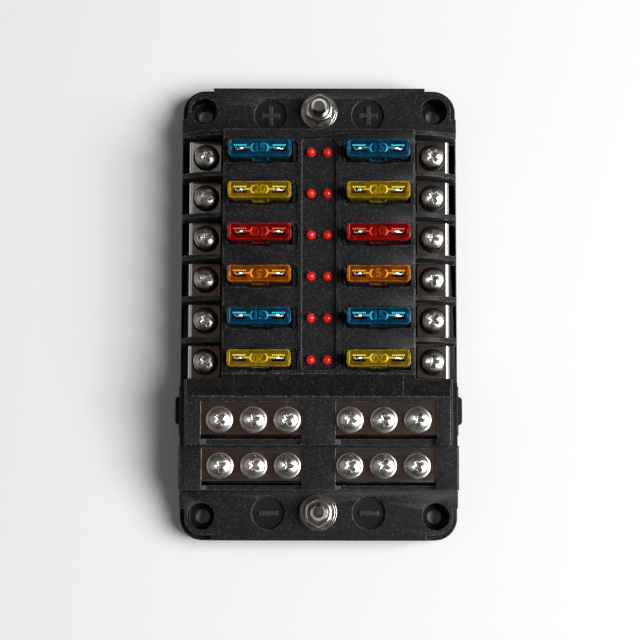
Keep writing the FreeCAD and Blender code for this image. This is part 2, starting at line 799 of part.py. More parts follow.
def stud_washers():
    """A wide flat washer and a smaller one on each stud."""
    rings = []
    for y in (positive_stud_y, negative_stud_y):
        inner = stud_r + washer_hole_gap
        z1 = end_plate_z + lower_washer_thickness
        rings.append(turned([(inner, end_plate_z), (lower_washer_r, end_plate_z), (lower_washer_r, z1),
                             (inner, z1)], 0, y))
        rings.append(turned([(inner, z1), (upper_washer_r, z1), (upper_washer_r, stack_z),
                             (inner, stack_z)], 0, y))
    return Part.makeCompound(rings)


def nut(y, turn):
    """A hexagon nut with its upper corners turned off."""
    prism = hexagon(nut_across, 0, y, stack_z, stack_z + nut_height, turn)
    reach = nut_across / math.sqrt(3)
    top = stack_z + nut_height
    cone = turned([(0, stack_z), (reach + over, stack_z), (reach + over, top - nut_edge),
                   (nut_across / 2, top), (0, top)], 0, y)
    return prism.common(cone).cut(rod(0, y, stud_r + nut_bore_gap, stack_z - over, top + over))


def screw(x, y, seat_z, length):
    """A pan-head screw with its captive washers, standing on a seat."""
    under = seat_z + screw_washer_stack
    top = under + screw_head_height
    return turned([(0, under - length), (screw_r, under - length), (screw_r, seat_z),
                   (screw_washer_r, seat_z), (screw_washer_r, under), (screw_head_r, under),
                   (screw_head_r, top - screw_head_edge), (screw_head_r - screw_head_edge, top),
                   (0, top)], x, y)


def fuse_body(x, y):
    """The clear body of one fuse: wide crown, skirt with a bracket and two end posts, element slot."""
    z0, z1 = pocket_floor_z, fuse_top_z
    half, depth, c = fuse_width / 2, fuse_thickness / 2, fuse_corner
    crown = prism_z([(x - half + c, y - depth), (x + half - c, y - depth), (x + half, y - depth + c),
                     (x + half, y + depth - c), (x + half - c, y + depth), (x - half + c, y + depth),
                     (x - half, y + depth - c), (x - half, y - depth + c)], z1 - fuse_crown_height, z1)
    half, depth = fuse_skirt_width / 2, fuse_skirt_thickness / 2
    under = z1 - fuse_crown_height
    skirt = [box(x - half, x + half, y - depth, y + depth, z0, under)]
    wide, deep = fuse_bracket_width / 2, fuse_bracket_thickness / 2
    skirt.append(box(x - wide, x + wide, y - deep, y + deep, z0, under))
    deep = fuse_post_thickness / 2
    for side in sides:
        outer, inner = x + side * half, x + side * (half - fuse_post_width)
        skirt.append(box(outer, inner, y - deep, y + deep, z0, under))
    slot_x = blade_spacing / 2 + blade_width / 2 + clip_gap
    slot_y = blade_thickness / 2 + clip_gap
    slot = box(x - slot_x, x + slot_x, y - slot_y, y + slot_y, z0 - over, z1 - element_top_gap + clip_gap)
    body = joined([crown] + skirt).cut(slot)
    for side in sides:
        middle = x + side * fuse_window_x
        body = body.cut(box(middle - fuse_window_width / 2, middle + fuse_window_width / 2,
                            y - fuse_window_depth / 2, y + fuse_window_depth / 2,
                            z1 - element_top_gap, z1 + over))
    return body


def fuse_element(x, y):
    """The stamped zinc element of one fuse: two blades and the arched link between them."""
    low = pocket_floor_z - blade_length
    high = fuse_top_z - element_top_gap
    link_z = high - link_arch
    half_y = blade_thickness / 2
    pieces = []
    for side in sides:
        middle = x + side * blade_spacing / 2
        pieces.append(box(middle - blade_width / 2, middle + blade_width / 2,
                          y - half_y, y + half_y, low, high))
    gap = (blade_spacing - blade_width) / 2
    pieces.append(box(x - gap - over, x + gap + over, y - half_y, y + half_y, link_z - link_height, link_z))
    return joined(pieces)


def nodes():
    """Every sub-part, by name. Left column first, each column from the back row to the front."""
    made = {
        "housing": housing(),
        "base_plate": base_plate(),
        "circuit_board": circuit_board(),
        "indicator_lamps": lamps(),
        "positive_bus": positive_bus(),
        "output_terminals": output_terminals(),
        "negative_bus": negative_bus(),
        "positive_stud": stud(positive_stud_y),
        "negative_stud": stud(negative_stud_y),
        "stud_washers": stud_washers(),
        "positive_nut": nut(positive_stud_y, positive_nut_turn),
        "negative_nut": nut(negative_stud_y, negative_nut_turn),
    }
    number = 0
    for side in sides:
        for y in row_ys:
            number += 1
            made["fuse_body_%02d" % number] = fuse_body(side * fuse_x, y)
            made["fuse_element_%02d" % number] = fuse_element(side * fuse_x, y)
            made["terminal_screw_%02d" % number] = screw(side * terminal_screw_x, y, terminal_top_z,
                                                         terminal_screw_length)
    number = 0
    for y, z in ((bus_screw_1_y, bar_1_z), (bus_screw_2_y, bar_2_z)):
        for x in [-x for x in reversed(bus_screw_xs)] + bus_screw_xs:
            number += 1
            made["bus_screw_%02d" % number] = screw(x, y, z, bus_screw_length)
    return made


os.makedirs("parts", exist_ok=True)
for name, shape in nodes().items():
    if not shape.isValid():
        raise ValueError(name + " is not a valid shape")
    shape.exportStep("parts/" + name + ".step")
    print("%-20s solids %2d  volume %9.1f" % (name, len(shape.Solids), shape.Volume))
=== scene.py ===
import math

import bmesh
import bpy
from mathutils import Matrix, Vector


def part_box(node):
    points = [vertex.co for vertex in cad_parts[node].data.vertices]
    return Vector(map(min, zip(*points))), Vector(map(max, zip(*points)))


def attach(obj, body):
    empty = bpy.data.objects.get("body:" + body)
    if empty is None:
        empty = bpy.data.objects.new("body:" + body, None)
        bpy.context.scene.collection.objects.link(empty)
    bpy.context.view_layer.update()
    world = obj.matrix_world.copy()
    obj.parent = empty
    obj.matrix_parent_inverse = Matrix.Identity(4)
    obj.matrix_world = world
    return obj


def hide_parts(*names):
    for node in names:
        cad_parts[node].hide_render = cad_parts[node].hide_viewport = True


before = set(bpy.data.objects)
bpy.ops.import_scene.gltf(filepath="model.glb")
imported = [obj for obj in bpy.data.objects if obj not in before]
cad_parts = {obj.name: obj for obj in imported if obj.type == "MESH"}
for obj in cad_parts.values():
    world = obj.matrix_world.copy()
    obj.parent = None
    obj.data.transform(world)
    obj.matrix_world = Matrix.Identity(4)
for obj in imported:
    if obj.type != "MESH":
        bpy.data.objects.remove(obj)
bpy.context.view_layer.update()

mm = 0.001


# Camera. The block was photographed from straight above, a little forward of its middle,
# with a long lens, so every step of the moulding shows its front wall.
lens_mm = 105.2
sensor_mm = 36.0
camera_place = (0.47 * mm, -61.78 * mm, 587.9 * mm)
camera_tilt = math.radians(5.855)
camera_roll = math.radians(0.1)


def new_object(name, data):
    """An object of the scene with this data."""
    made = bpy.data.objects.new(name, data)
    bpy.context.scene.collection.objects.link(made)
    return made


camera_data = bpy.data.cameras.new("camera")
camera_data.lens = lens_mm
camera_data.sensor_width = sensor_mm
camera_data.clip_start = 0.01
camera_data.clip_end = 10.0
camera = new_object("camera", camera_data)
camera.location = camera_place
camera.rotation_euler = (camera_tilt, 0.0, camera_roll)
bpy.context.scene.camera = camera
bpy.context.scene.view_settings.view_transform = "Standard"


# Studio. A white sheet of paper lies under the block, and one soft lamp stands on the right. A dim
# panel faces it on the left, a small one hangs behind, and straight overhead it is brown and dark.
paper_size = 3.0
paper_colour = (0.9, 0.895, 0.905, 1.0)
key_size = 1.15
key_distance = 1.6
key_elevation = math.radians(48)
key_azimuth = math.radians(-7)
key_power = 35.0
side_size = 1.2
side_elevation = math.radians(52)
side_power = 1.4
back_size = 0.56
back_place = (-0.37, 0.67, 2.0)
back_power = 0.28
horizon_colour = (0.4, 0.4, 0.4, 1.0)
wall_colour = (0.062, 0.06, 0.058, 1.0)
zenith_colour = (0.04, 0.02, 0.013, 1.0)
horizon_top = 0.1
wall_foot = 0.3
wall_top = 0.962
zenith_edge = 0.982


def soft_lamp(name, size, power, place):
    """A round softbox in its place, facing the origin."""
    data = bpy.data.lights.new(name, "AREA")
    data.shape = "DISK"
    data.size = size
    data.energy = power
    lamp = new_object(name, data)
    lamp.location = place
    lamp.rotation_euler = (-Vector(place)).to_track_quat("-Z", "Y").to_euler()


def around(distance, azimuth, elevation):
    """A point at a distance from the origin; azimuth 0 is +X."""
    flat = distance * math.cos(elevation)
    return (flat * math.cos(azimuth), flat * math.sin(azimuth), distance * math.sin(elevation))


def new_material(name):
    """A material with its nodes, its links and its principled shader."""
    made = bpy.data.materials.new(name)
    made.use_nodes = True
    tree = made.node_tree
    return made, tree.nodes, tree.links, tree.nodes["Principled BSDF"]


soft_lamp("key_lamp", key_size, key_power, around(key_distance, key_azimuth, key_elevation))
soft_lamp("side_panel", side_size, side_power, around(key_distance, math.pi, side_elevation))
soft_lamp("back_panel", back_size, back_power, back_place)

world = bpy.data.worlds.new("studio")
world.use_nodes = True
bpy.context.scene.world = world
world_nodes = world.node_tree.nodes
world_links = world.node_tree.links
world_place = world_nodes.new("ShaderNodeTexCoord")
world_axes = world_nodes.new("ShaderNodeSeparateXYZ")
world_ramp = world_nodes.new("ShaderNodeValToRGB")
world_stops = world_ramp.color_ramp.elements
world_stops[0].position = horizon_top
world_stops[0].color = horizon_colour
world_stops[1].position = zenith_edge
world_stops[1].color = zenith_colour
world_stops.new(wall_foot).color = wall_colour
world_stops.new(wall_top).color = wall_colour
world_links.new(world_place.outputs["Generated"], world_axes.inputs[0])
world_links.new(world_axes.outputs["Z"], world_ramp.inputs[0])
world_links.new(world_ramp.outputs[0], world_nodes["Background"].inputs["Color"])

half = paper_size / 2
paper_corners = [(-half, -half, 0), (half, -half, 0), (half, half, 0), (-half, half, 0)]
paper_mesh = bpy.data.meshes.new("paper")
paper_mesh.from_pydata(paper_corners, [], [(0, 1, 2, 3)])
paper = new_object("paper", paper_mesh)
paper_material, nodes, links, shader = new_material("paper")
shader.inputs["Base Color"].default_value = paper_colour
shader.inputs["Roughness"].default_value = 0.6
shader.inputs["Specular IOR Level"].default_value = 0.2
paper_mesh.materials.append(paper_material)


# Housing. One black moulding in glass-filled nylon with a fine spark-eroded grain. Pale specks are painted
# into its colour as glints of the grain, its rounded edges carry a painted highlight, and its raised signs
# are a lighter grey. The sunk discs are plain smooth black; the corner steps and fixing holes are painted
# black as shade.
edge_radius = 0.17 * mm
edge_angle = math.radians(35)
flat_angle = math.radians(0.5)
merge_distance = 0.002 * mm
plastic_dark = (0.0035, 0.0035, 0.004, 1.0)
# pale specks painted into the housing's colour as glints of its grain
plastic_glint_speck = (0.045, 0.046, 0.048, 1.0)
glint_speck_share = 0.2
# colours of the rounded edges: a painted highlight, lighter where the edges would catch the light
edge_highlight_share = 0.5
edge_highlight_dark = (0.012, 0.012, 0.013, 1.0)
edge_highlight_light = (0.16, 0.161, 0.163, 1.0)
# plain black: the smooth finish of the sunk discs, and painted shade in the fixing holes and corner steps
smooth_black_and_painted_shade = (0.0025, 0.0025, 0.003, 1.0)
sign_grey = (0.032, 0.032, 0.033, 1.0)
grain_scale = 3600.0
grain_depth = 0.05 * mm
edge_highlight_grain = 0.02 * mm
fine_grain = 0.01 * mm
plate_top = 10.5 * mm
disc_places = ((15.3 * mm, 62.1 * mm), (15.5 * mm, -62.15 * mm))
disc_radius = 5.15 * mm
disc_floor = 9.5 * mm
fixing_place = (36.1 * mm, 63.25 * mm)
fixing_radius = 4.15 * mm
corner_place = (33.1 * mm, 60.75 * mm)
sunk_margin = 0.3 * mm
corner_margin = 0.6 * mm
hole_margin = 0.1 * mm
level_normal = 0.9


def object_noise(nodes, links, scale, detail=2.0, roughness=0.5):
    """Noise on the object's own coordinates."""
    place = nodes.new("ShaderNodeTexCoord")
    cloud = nodes.new("ShaderNodeTexNoise")
    cloud.inputs["Scale"].default_value = scale
    cloud.inputs["Detail"].default_value = detail
    cloud.inputs["Roughness"].default_value = roughness
    links.new(place.outputs["Object"], cloud.inputs["Vector"])
    return cloud.outputs["Fac"]


def ramp(nodes, links, source, stops):
    """A colour ramp with stops of position and colour."""
    made = nodes.new("ShaderNodeValToRGB")
    elements = made.color_ramp.elements
    while len(elements) < len(stops):
        elements.new(0.5)
    for element, (position, colour) in zip(elements, stops):
        element.position = position
        element.color = colour
    links.new(source, made.inputs["Fac"])
    return made.outputs["Color"]


def spread(nodes, links, source, low, high):
    """A factor from 0 to 1 brought to the range from low to high."""
    made = nodes.new("ShaderNodeMapRange")
    made.inputs["To Min"].default_value = low
    made.inputs["To Max"].default_value = high
    links.new(source, made.inputs["Value"])
    return made.outputs["Result"]


def bump(nodes, links, shader, source, depth, strength=1.0):
    """A bump of a real depth, in metres."""
    made = nodes.new("ShaderNodeBump")
    made.inputs["Strength"].default_value = strength
    made.inputs["Distance"].default_value = depth
    links.new(source, made.inputs["Height"])
    links.new(made.outputs["Normal"], shader.inputs["Normal"])


def grained_plastic(name, dark, light, share, scale, depth, rough):
    """Moulded plastic: a share of paler specks in its colour (on the housing, painted glints of the grain),
    fine grain in bump, uneven gloss.
    """
    made, nodes, links, shader = new_material(name)
    grain = object_noise(nodes, links, scale, 3.0, 0.6)
    patches = object_noise(nodes, links, scale / 30, 2.0)
    place = nodes.new("ShaderNodeTexCoord")
    cells = nodes.new("ShaderNodeTexVoronoi")
    cells.inputs["Scale"].default_value = scale
    split = nodes.new("ShaderNodeSeparateColor")
    links.new(place.outputs["Object"], cells.inputs["Vector"])
    links.new(cells.outputs["Color"], split.inputs["Color"])
    colour = ramp(nodes, links, split.outputs[0], [(0.0, dark), (1.0 - share, dark), (1.0, light)])
    links.new(colour, shader.inputs["Base Color"])
    shader.inputs["Specular IOR Level"].default_value = 0.24
    links.new(spread(nodes, links, patches, rough - 0.08, rough + 0.08), shader.inputs["Roughness"])
    bump(nodes, links, shader, grain, depth, 0.6)
    return made


def smooth(mesh, angle):
    """Shades a mesh smooth, except where its faces meet at more than an angle."""
    for face in mesh.polygons:
        face.use_smooth = True
    mesh.set_sharp_from_angle(angle=angle)


def clean_copy(node, name, radius, finishes=()):
    """A copy of a construction node with its triangles merged into faces and its edges rounded.

    A second finish goes on the rounded edges."""
    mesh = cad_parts[node].data.copy()
    mesh.name = name
    work = bmesh.new()
    work.from_mesh(mesh)
    bmesh.ops.remove_doubles(work, verts=work.verts, dist=merge_distance)
    bmesh.ops.dissolve_limit(work, angle_limit=flat_angle, verts=work.verts, edges=work.edges)
    work.to_mesh(mesh)
    work.free()
    mesh.materials.clear()
    for finish in finishes:
        mesh.materials.append(finish)
    smooth(mesh, edge_angle)
    piece = new_object(name, mesh)
    if radius > 0:
        rounding = piece.modifiers.new("rounding", "BEVEL")
        rounding.width = radius
        rounding.segments = 2
        rounding.limit_method = "ANGLE"
        rounding.angle_limit = edge_angle
        rounding.harden_normals = True
        rounding.use_clamp_overlap = False
        if len(finishes) > 1:
            rounding.material = 1
    return piece


def made_plain(piece):
    """Turns a piece with modifiers into one with a plain mesh."""
    shown = piece.evaluated_get(bpy.context.evaluated_depsgraph_get())
    mesh = bpy.data.meshes.new_from_object(shown)
    mesh.name = piece.name
    piece.modifiers.clear()
    piece.data = mesh
    return piece


def dress(piece, body, slot, material, *replaced):
    """Gives a piece its body, a material if it has none, and hides the nodes that it replaces; the slot is
    not used.
    """
    if not piece.data.materials:
        piece.data.materials.append(material)
    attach(piece, body)
    if replaced:
        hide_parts(*replaced)


def near(place, x, y, radius):
    """Whether a point lies within a radius of a place or of its mirror images."""
    return math.hypot(abs(x) - place[0], abs(y) - abs(place[1])) < radius


housing_plastic = grained_plastic("housing_plastic", plastic_dark, plastic_glint_speck, glint_speck_share, grain_scale,
                                  grain_depth, rough=0.48)
# the painted highlight on the rounded edges
rubbed_edge = grained_plastic("rubbed_edge", edge_highlight_dark, edge_highlight_light, edge_highlight_share, grain_scale,
                              edge_highlight_grain, rough=0.34)
plain_plastic = grained_plastic("plain_plastic", smooth_black_and_painted_shade, smooth_black_and_painted_shade, 0.1, grain_scale,
                                fine_grain, rough=0.6)
sign_plastic = grained_plastic("sign_plastic", sign_grey, sign_grey, 0.1, grain_scale, fine_grain, rough=0.5)
housing_finishes = (housing_plastic, rubbed_edge, plain_plastic, sign_plastic)
housing_moulding = made_plain(clean_copy("housing", "housing_moulding", edge_radius, housing_finishes))
low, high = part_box("housing")
for vertex in housing_moulding.data.vertices:
    vertex.co = [min(max(value, least), most) for value, least, most in zip(vertex.co, low, high)]
for face in housing_moulding.data.polygons:
    if face.material_index > 0:
        continue
    x, y, z = face.center
    level = face.normal.z > level_normal
    below = z < plate_top - sunk_margin
    on_disc = any(y * place[1] > 0 and near(place, x, y, disc_radius) for place in disc_places)
    in_hole = below and near(fixing_place, x, y, fixing_radius + hole_margin)
    in_corner = z < plate_top - corner_margin and abs(x) > corner_place[0] and abs(y) > corner_place[1]
    # the fixing holes and corner steps take the plain black as painted shade, the sunk disc floors as their
    # smooth finish
    if (on_disc and z < disc_floor) or in_hole or (in_corner and level):
        face.material_index = housing_finishes.index(plain_plastic)
    elif on_disc and below and level:
        face.material_index = housing_finishes.index(sign_plastic)
dress(housing_moulding, "block", "housing_plastic", None, "housing")


# Base plate. A plain black plate let into the underside, held by four stakes of the housing.
# It is moulded without grain, so it is smoother than what it closes.
base_dark = (0.008, 0.008, 0.008, 1.0)
base_light = (0.014, 0.014, 0.014, 1.0)
base_edge = 0.15 * mm

base_plastic = grained_plastic("base_plastic", base_dark, base_light, 0.5, grain_scale / 2,
                               fine_grain, rough=0.4)
base_cover = made_plain(clean_copy("base_plate", "base_cover", base_edge))
dress(base_cover, "block", "base_plastic", base_plastic, "base_plate")


# Circuit board. A strip of glass laminate under the lamp panel with green solder mask, and a chip
# resistor under each lamp. It closes off the housing's hollow and hardly shows.
board_green = (0.02, 0.13, 0.05, 1.0)
board_dark = (0.012, 0.08, 0.035, 1.0)

board_mask, nodes, links, shader = new_material("board_mask")
weave = object_noise(nodes, links, 900.0, 1.0)
links.new(ramp(nodes, links, weave, [(0.4, board_dark), (0.6, board_green)]), shader.inputs["Base Color"])
shader.inputs["Roughness"].default_value = 0.35
bump(nodes, links, shader, weave, fine_grain, 0.4)
board_strip = clean_copy("circuit_board", "board_strip", 0.0)
dress(board_strip, "block", "board_laminate", board_mask, "circuit_board")


# Bus metal. Sheet brass under bright nickel; overhead it mirrors the dark ceiling and looks brown.
# Rolling left faint lines along it, handling left specks and fine scratches. The front-facing faces and
# rounded edges of the negative bus are painted dark: painted shade, and a painted reflection of the dark
# housing in front.
nickel_dull = (0.58, 0.535, 0.49, 1.0)
nickel_bright = (0.70, 0.66, 0.62, 1.0)
# dark colours painted on the negative bus's front faces and rounded edges as shade and reflection of the
# housing
front_shade_dark = (0.02, 0.016, 0.014, 1.0)
front_shade_light = (0.07, 0.06, 0.05, 1.0)
rolling_scale = (120.0, 4500.0, 4500.0)
sheet_edge = 0.1 * mm
front_normal = -0.2


def rolled_metal(name, low, high, rough):
    """Plated sheet with faint rolling lines, specks and uneven gloss."""
    made, nodes, links, shader = new_material(name)
    place = nodes.new("ShaderNodeTexCoord")
    stretch = nodes.new("ShaderNodeMapping")
    stretch.inputs["Scale"].default_value = rolling_scale
    lines = nodes.new("ShaderNodeTexNoise")
    lines.inputs["Scale"].default_value = 1.0
    lines.inputs["Detail"].default_value = 3.0
    links.new(place.outputs["Object"], stretch.inputs["Vector"])
    links.new(stretch.outputs["Vector"], lines.inputs["Vector"])
    clouds = object_noise(nodes, links, 160.0, 3.0)
    links.new(ramp(nodes, links, clouds, [(0.3, low), (0.7, high)]), shader.inputs["Base Color"])
    shader.inputs["Metallic"].default_value = 1.0
    gloss = spread(nodes, links, lines.outputs["Fac"], rough - 0.06, rough + 0.1)
    links.new(gloss, shader.inputs["Roughness"])
    bump(nodes, links, shader, lines.outputs["Fac"], 0.004 * mm, 0.5)
    return made


bus_metal = rolled_metal("bus_metal", nickel_dull, nickel_bright, rough=0.14)
bus_edge = rolled_metal("bus_edge", front_shade_dark, front_shade_light, rough=0.3)
for node, name in (("positive_bus", "positive_bus_sheet"), ("output_terminals", "output_terminal_sheets")):
    sheet = made_plain(clean_copy(node, name, sheet_edge))
    dress(sheet, "block", "bus_metal", bus_metal, node)
sheet = made_plain(clean_copy("negative_bus", "negative_bus_sheet", sheet_edge, (bus_metal, bus_edge)))
# faces turned to the front take the dark colour, painted shade
for face in sheet.data.polygons:
    if face.normal.y < front_normal:
        face.material_index = 1
dress(sheet, "block", "bus_metal", None, "negative_bus")


# Lamps. Twelve clear red lamps of 3 mm stand through the sunk panel, two to a row. Each is a
# round-nosed bullet of cast epoxy.
lamp_radius = 1.5 * mm
lamp_columns = 2
lamp_lines = 6
lamp_deep = (0.72, 0.012, 0.008, 1.0)
lamp_bright = (0.95, 0.03, 0.016, 1.0)
crease_angle = math.radians(40)


def node_tree(name, inputs):
    """An empty Geometry Nodes tree with the given named inputs; each value says the input's kind."""
    tree = bpy.data.node_groups.new(name, "GeometryNodeTree")
    kinds = {float: "NodeSocketFloat", int: "NodeSocketInt", tuple: "NodeSocketVector"}
    for input_name, value in inputs.items():
        kind = kinds.get(type(value), "NodeSocketObject")
        socket = tree.interface.new_socket(input_name, in_out="INPUT", socket_type=kind)
        if kind != "NodeSocketObject":
            socket.default_value = value
    tree.interface.new_socket("Geometry", in_out="OUTPUT", socket_type="NodeSocketGeometry")
    return tree, tree.nodes.new("NodeGroupInput"), tree.nodes.new("NodeGroupOutput")


def grown(name, tree, values, material):
    """The plain mesh piece that a tree makes with these input values."""
    seed = new_object(name + "_seed", bpy.data.meshes.new(name))
    growth = seed.modifiers.new("growth", "NODES")
    growth.node_group = tree
    for item in tree.interface.items_tree:
        if item.in_out == "INPUT" and item.name in values:
            growth[item.identifier] = values[item.name]
    for node in tree.nodes:
        if node.bl_idname == "GeometryNodeSetMaterial":
            node.inputs["Material"].default_value = material
    shown = seed.evaluated_get(bpy.context.evaluated_depsgraph_get())
    mesh = bpy.data.meshes.new_from_object(shown)
    mesh.name = name
    bpy.data.objects.remove(seed)
    return new_object(name, mesh)


def closing(tree, source, target):
    """Ends a tree in Realize Instances and Set Material."""
    real = tree.nodes.new("GeometryNodeRealizeInstances")
    coat = tree.nodes.new("GeometryNodeSetMaterial")
    tree.links.new(source, real.inputs[0])
    tree.links.new(real.outputs[0], coat.inputs["Geometry"])
    tree.links.new(coat.outputs[0], target.inputs[0])


def formed(name, work):
    """The object of a finished bmesh, its faces turned outwards."""
    bmesh.ops.recalc_face_normals(work, faces=work.faces)
    mesh = bpy.data.meshes.new(name)
    work.to_mesh(mesh)
    work.free()
    return new_object(name, mesh)


def turned(name, outline, steps=40):
    """A turned form: an outline in radius and height, from axis to axis, swept round Z."""
    work = bmesh.new()
    rings = []
    for radius, height in outline:
        if radius == 0:
            rings.append([work.verts.new((0, 0, height))])
            continue
        ring = []
        for k in range(steps):
            angle = 2 * math.pi * k / steps
            ring.append(work.verts.new((radius * math.cos(angle), radius * math.sin(angle), height)))
        rings.append(ring)
    if outline[0][0] != 0:
        rings.append(rings[0])
    for lower, upper in zip(rings, rings[1:]):
        for k in range(steps):
            n = (k + 1) % steps
            around_face = ((lower, k), (lower, n), (upper, n), (upper, k))
            corners = [ring[place % len(ring)] for ring, place in around_face]
            work.faces.new(list(dict.fromkeys(corners)))
    piece = formed(name, work)
    smooth(piece.data, crease_angle)
    return piece


lamp_epoxy, nodes, links, shader = new_material("lamp_epoxy")
depth_noise = object_noise(nodes, links, 500.0, 1.0)
epoxy_colour = ramp(nodes, links, depth_noise, [(0.3, lamp_deep), (0.7, lamp_bright)])
links.new(epoxy_colour, shader.inputs["Base Color"])
shader.inputs["Roughness"].default_value = 0.12
shader.inputs["Coat Weight"].default_value = 0.6
shader.inputs["Coat Roughness"].default_value = 0.05

lamp_low, lamp_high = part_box("indicator_lamps")
lamp_shoulder = lamp_high.z - lamp_radius
dome = [(lamp_radius * math.cos(a), lamp_shoulder + lamp_radius * math.sin(a))
        for a in [math.radians(d) for d in range(0, 90, 15)]]
lamp_outline = [(0, lamp_low.z), (lamp_radius, lamp_low.z)] + dome + [(0, lamp_high.z)]
lamp_master = turned("lamp_master", lamp_outline, 32)

lamp_rows, inlet, outlet = node_tree(
    "lamp_rows", {"Lamp": lamp_master, "Column gap": 0.0, "Column length": 0.0, "Middle": (0.0, 0.0, 0.0)})
link = lamp_rows.links.new
grid = lamp_rows.nodes.new("GeometryNodeMeshGrid")
grid.inputs["Vertices X"].default_value = lamp_columns
grid.inputs["Vertices Y"].default_value = lamp_lines
shift = lamp_rows.nodes.new("GeometryNodeTransform")
info = lamp_rows.nodes.new("GeometryNodeObjectInfo")
stand = lamp_rows.nodes.new("GeometryNodeInstanceOnPoints")
link(inlet.outputs["Column gap"], grid.inputs["Size X"])
link(inlet.outputs["Column length"], grid.inputs["Size Y"])
link(grid.outputs["Mesh"], shift.inputs["Geometry"])
link(inlet.outputs["Middle"], shift.inputs["Translation"])
link(shift.outputs[0], stand.inputs["Points"])
link(inlet.outputs["Lamp"], info.inputs["Object"])
link(info.outputs["Geometry"], stand.inputs["Instance"])
closing(lamp_rows, stand.outputs[0], outlet)
lamp_gap = lamp_high.x - lamp_low.x - 2 * lamp_radius
lamp_length = lamp_high.y - lamp_low.y - 2 * lamp_radius
lamps = grown("panel_lamps", lamp_rows,
              {"Lamp": lamp_master, "Column gap": lamp_gap, "Column length": lamp_length,
               "Middle": (0.0, (lamp_low.y + lamp_high.y) / 2, 0.0)}, lamp_epoxy)
bpy.data.objects.remove(lamp_master)
dress(lamps, "block", "lamp_red", lamp_epoxy, "indicator_lamps")


# Power studs. Two stainless M5 bolts come up through the end plates from below. Each has a cut
# thread, a pointed end, two washers and a hexagon nut with its corners chamfered.
steel_dark = (0.50, 0.49, 0.47, 1.0)
steel_light = (0.78, 0.77, 0.75, 1.0)
fine_scratch = 0.002 * mm
thread_pitch = 0.8 * mm
thread_depth = 0.26 * mm
stud_radius = 2.5 * mm
# the pointed end from below: radius, and how far below the stud's top
stud_end = ((2.24 * mm, 1.25 * mm), (2.42 * mm, 1.1 * mm), (2.42 * mm, 0.72 * mm), (1.75 * mm, 0.06 * mm),
            (1.69 * mm, 0.0))
thread_turns = 12.5
# reach, height and chamfer of the hexagon head
stud_head = (4.4 * mm, 2.6 * mm, 0.4 * mm)
nut_across = 8.0 * mm
nut_flat_radius = 3.75 * mm
nut_chamfer = math.radians(30)
nut_sink = 0.3 * mm
nut_edge = 0.13 * mm
bore_gap = 0.05 * mm
washer_edge = 0.16 * mm
soft_angle = math.radians(60)
nut_turns = {"positive_nut": math.radians(25), "negative_nut": math.radians(30)}


def turned_metal(name, low, high, rough, scratch):
    """Bright turned or rolled metal with fine scratches and cloudy gloss."""
    made, nodes, links, shader = new_material(name)
    clouds = object_noise(nodes, links, 420.0, 3.0)
    fine = object_noise(nodes, links, 2600.0, 2.0)
    links.new(ramp(nodes, links, clouds, [(0.3, low), (0.65, high)]), shader.inputs["Base Color"])
    shader.inputs["Metallic"].default_value = 1.0
    links.new(spread(nodes, links, clouds, rough - 0.05, rough + 0.08), shader.inputs["Roughness"])
    bump(nodes, links, shader, fine, scratch, 0.5)
    return made


stud_steel = turned_metal("stud_steel", steel_dark, steel_light, rough=0.18, scratch=fine_scratch)

thread, inlet, outlet = node_tree(
    "thread", {"Radius": 0.0, "Pitch": 0.0, "Length": 0.0, "Depth": 0.0, "Foot": (0.0, 0.0, 0.0)})
link = thread.links.new
turns = thread.nodes.new("ShaderNodeMath")
turns.operation = "DIVIDE"
helix = thread.nodes.new("GeometryNodeCurveSpiral")
helix.inputs["Resolution"].default_value = 28
ridge = thread.nodes.new("GeometryNodeCurvePrimitiveCircle")
ridge.inputs["Resolution"].default_value = 6
sweep = thread.nodes.new("GeometryNodeCurveToMesh")
sweep.inputs["Fill Caps"].default_value = True
rise = thread.nodes.new("GeometryNodeTransform")
link(inlet.outputs["Length"], turns.inputs[0])
link(inlet.outputs["Pitch"], turns.inputs[1])
link(turns.outputs[0], helix.inputs["Rotations"])
link(inlet.outputs["Radius"], helix.inputs["Start Radius"])
link(inlet.outputs["Radius"], helix.inputs["End Radius"])
link(inlet.outputs["Length"], helix.inputs["Height"])
link(inlet.outputs["Depth"], ridge.inputs["Radius"])
link(helix.outputs[0], sweep.inputs["Curve"])
link(ridge.outputs[0], sweep.inputs["Profile Curve"])
link(sweep.outputs[0], rise.inputs["Geometry"])
link(inlet.outputs["Foot"], rise.inputs["Translation"])
closing(thread, rise.outputs[0], outlet)


def merged(name, pieces, marks=None, finishes=()):
    """One piece from several; their objects go. A mark is the number of a piece's finish."""
    work = bmesh.new()
    for piece, mark in zip(pieces, marks or [0] * len(pieces)):
        copy = piece.data.copy()
        copy.transform(piece.matrix_world)
        done = len(work.faces)
        work.from_mesh(copy)
        work.faces.ensure_lookup_table()
        for face in work.faces[done:]:
            face.material_index = mark
        bpy.data.meshes.remove(copy)
    mesh = bpy.data.meshes.new(name)
    work.to_mesh(mesh)
    work.free()
    for piece in pieces:
        bpy.data.objects.remove(piece)
    for finish in finishes:
        mesh.materials.append(finish)
    mesh.set_sharp_from_angle(angle=crease_angle)
    return new_object(name, mesh)


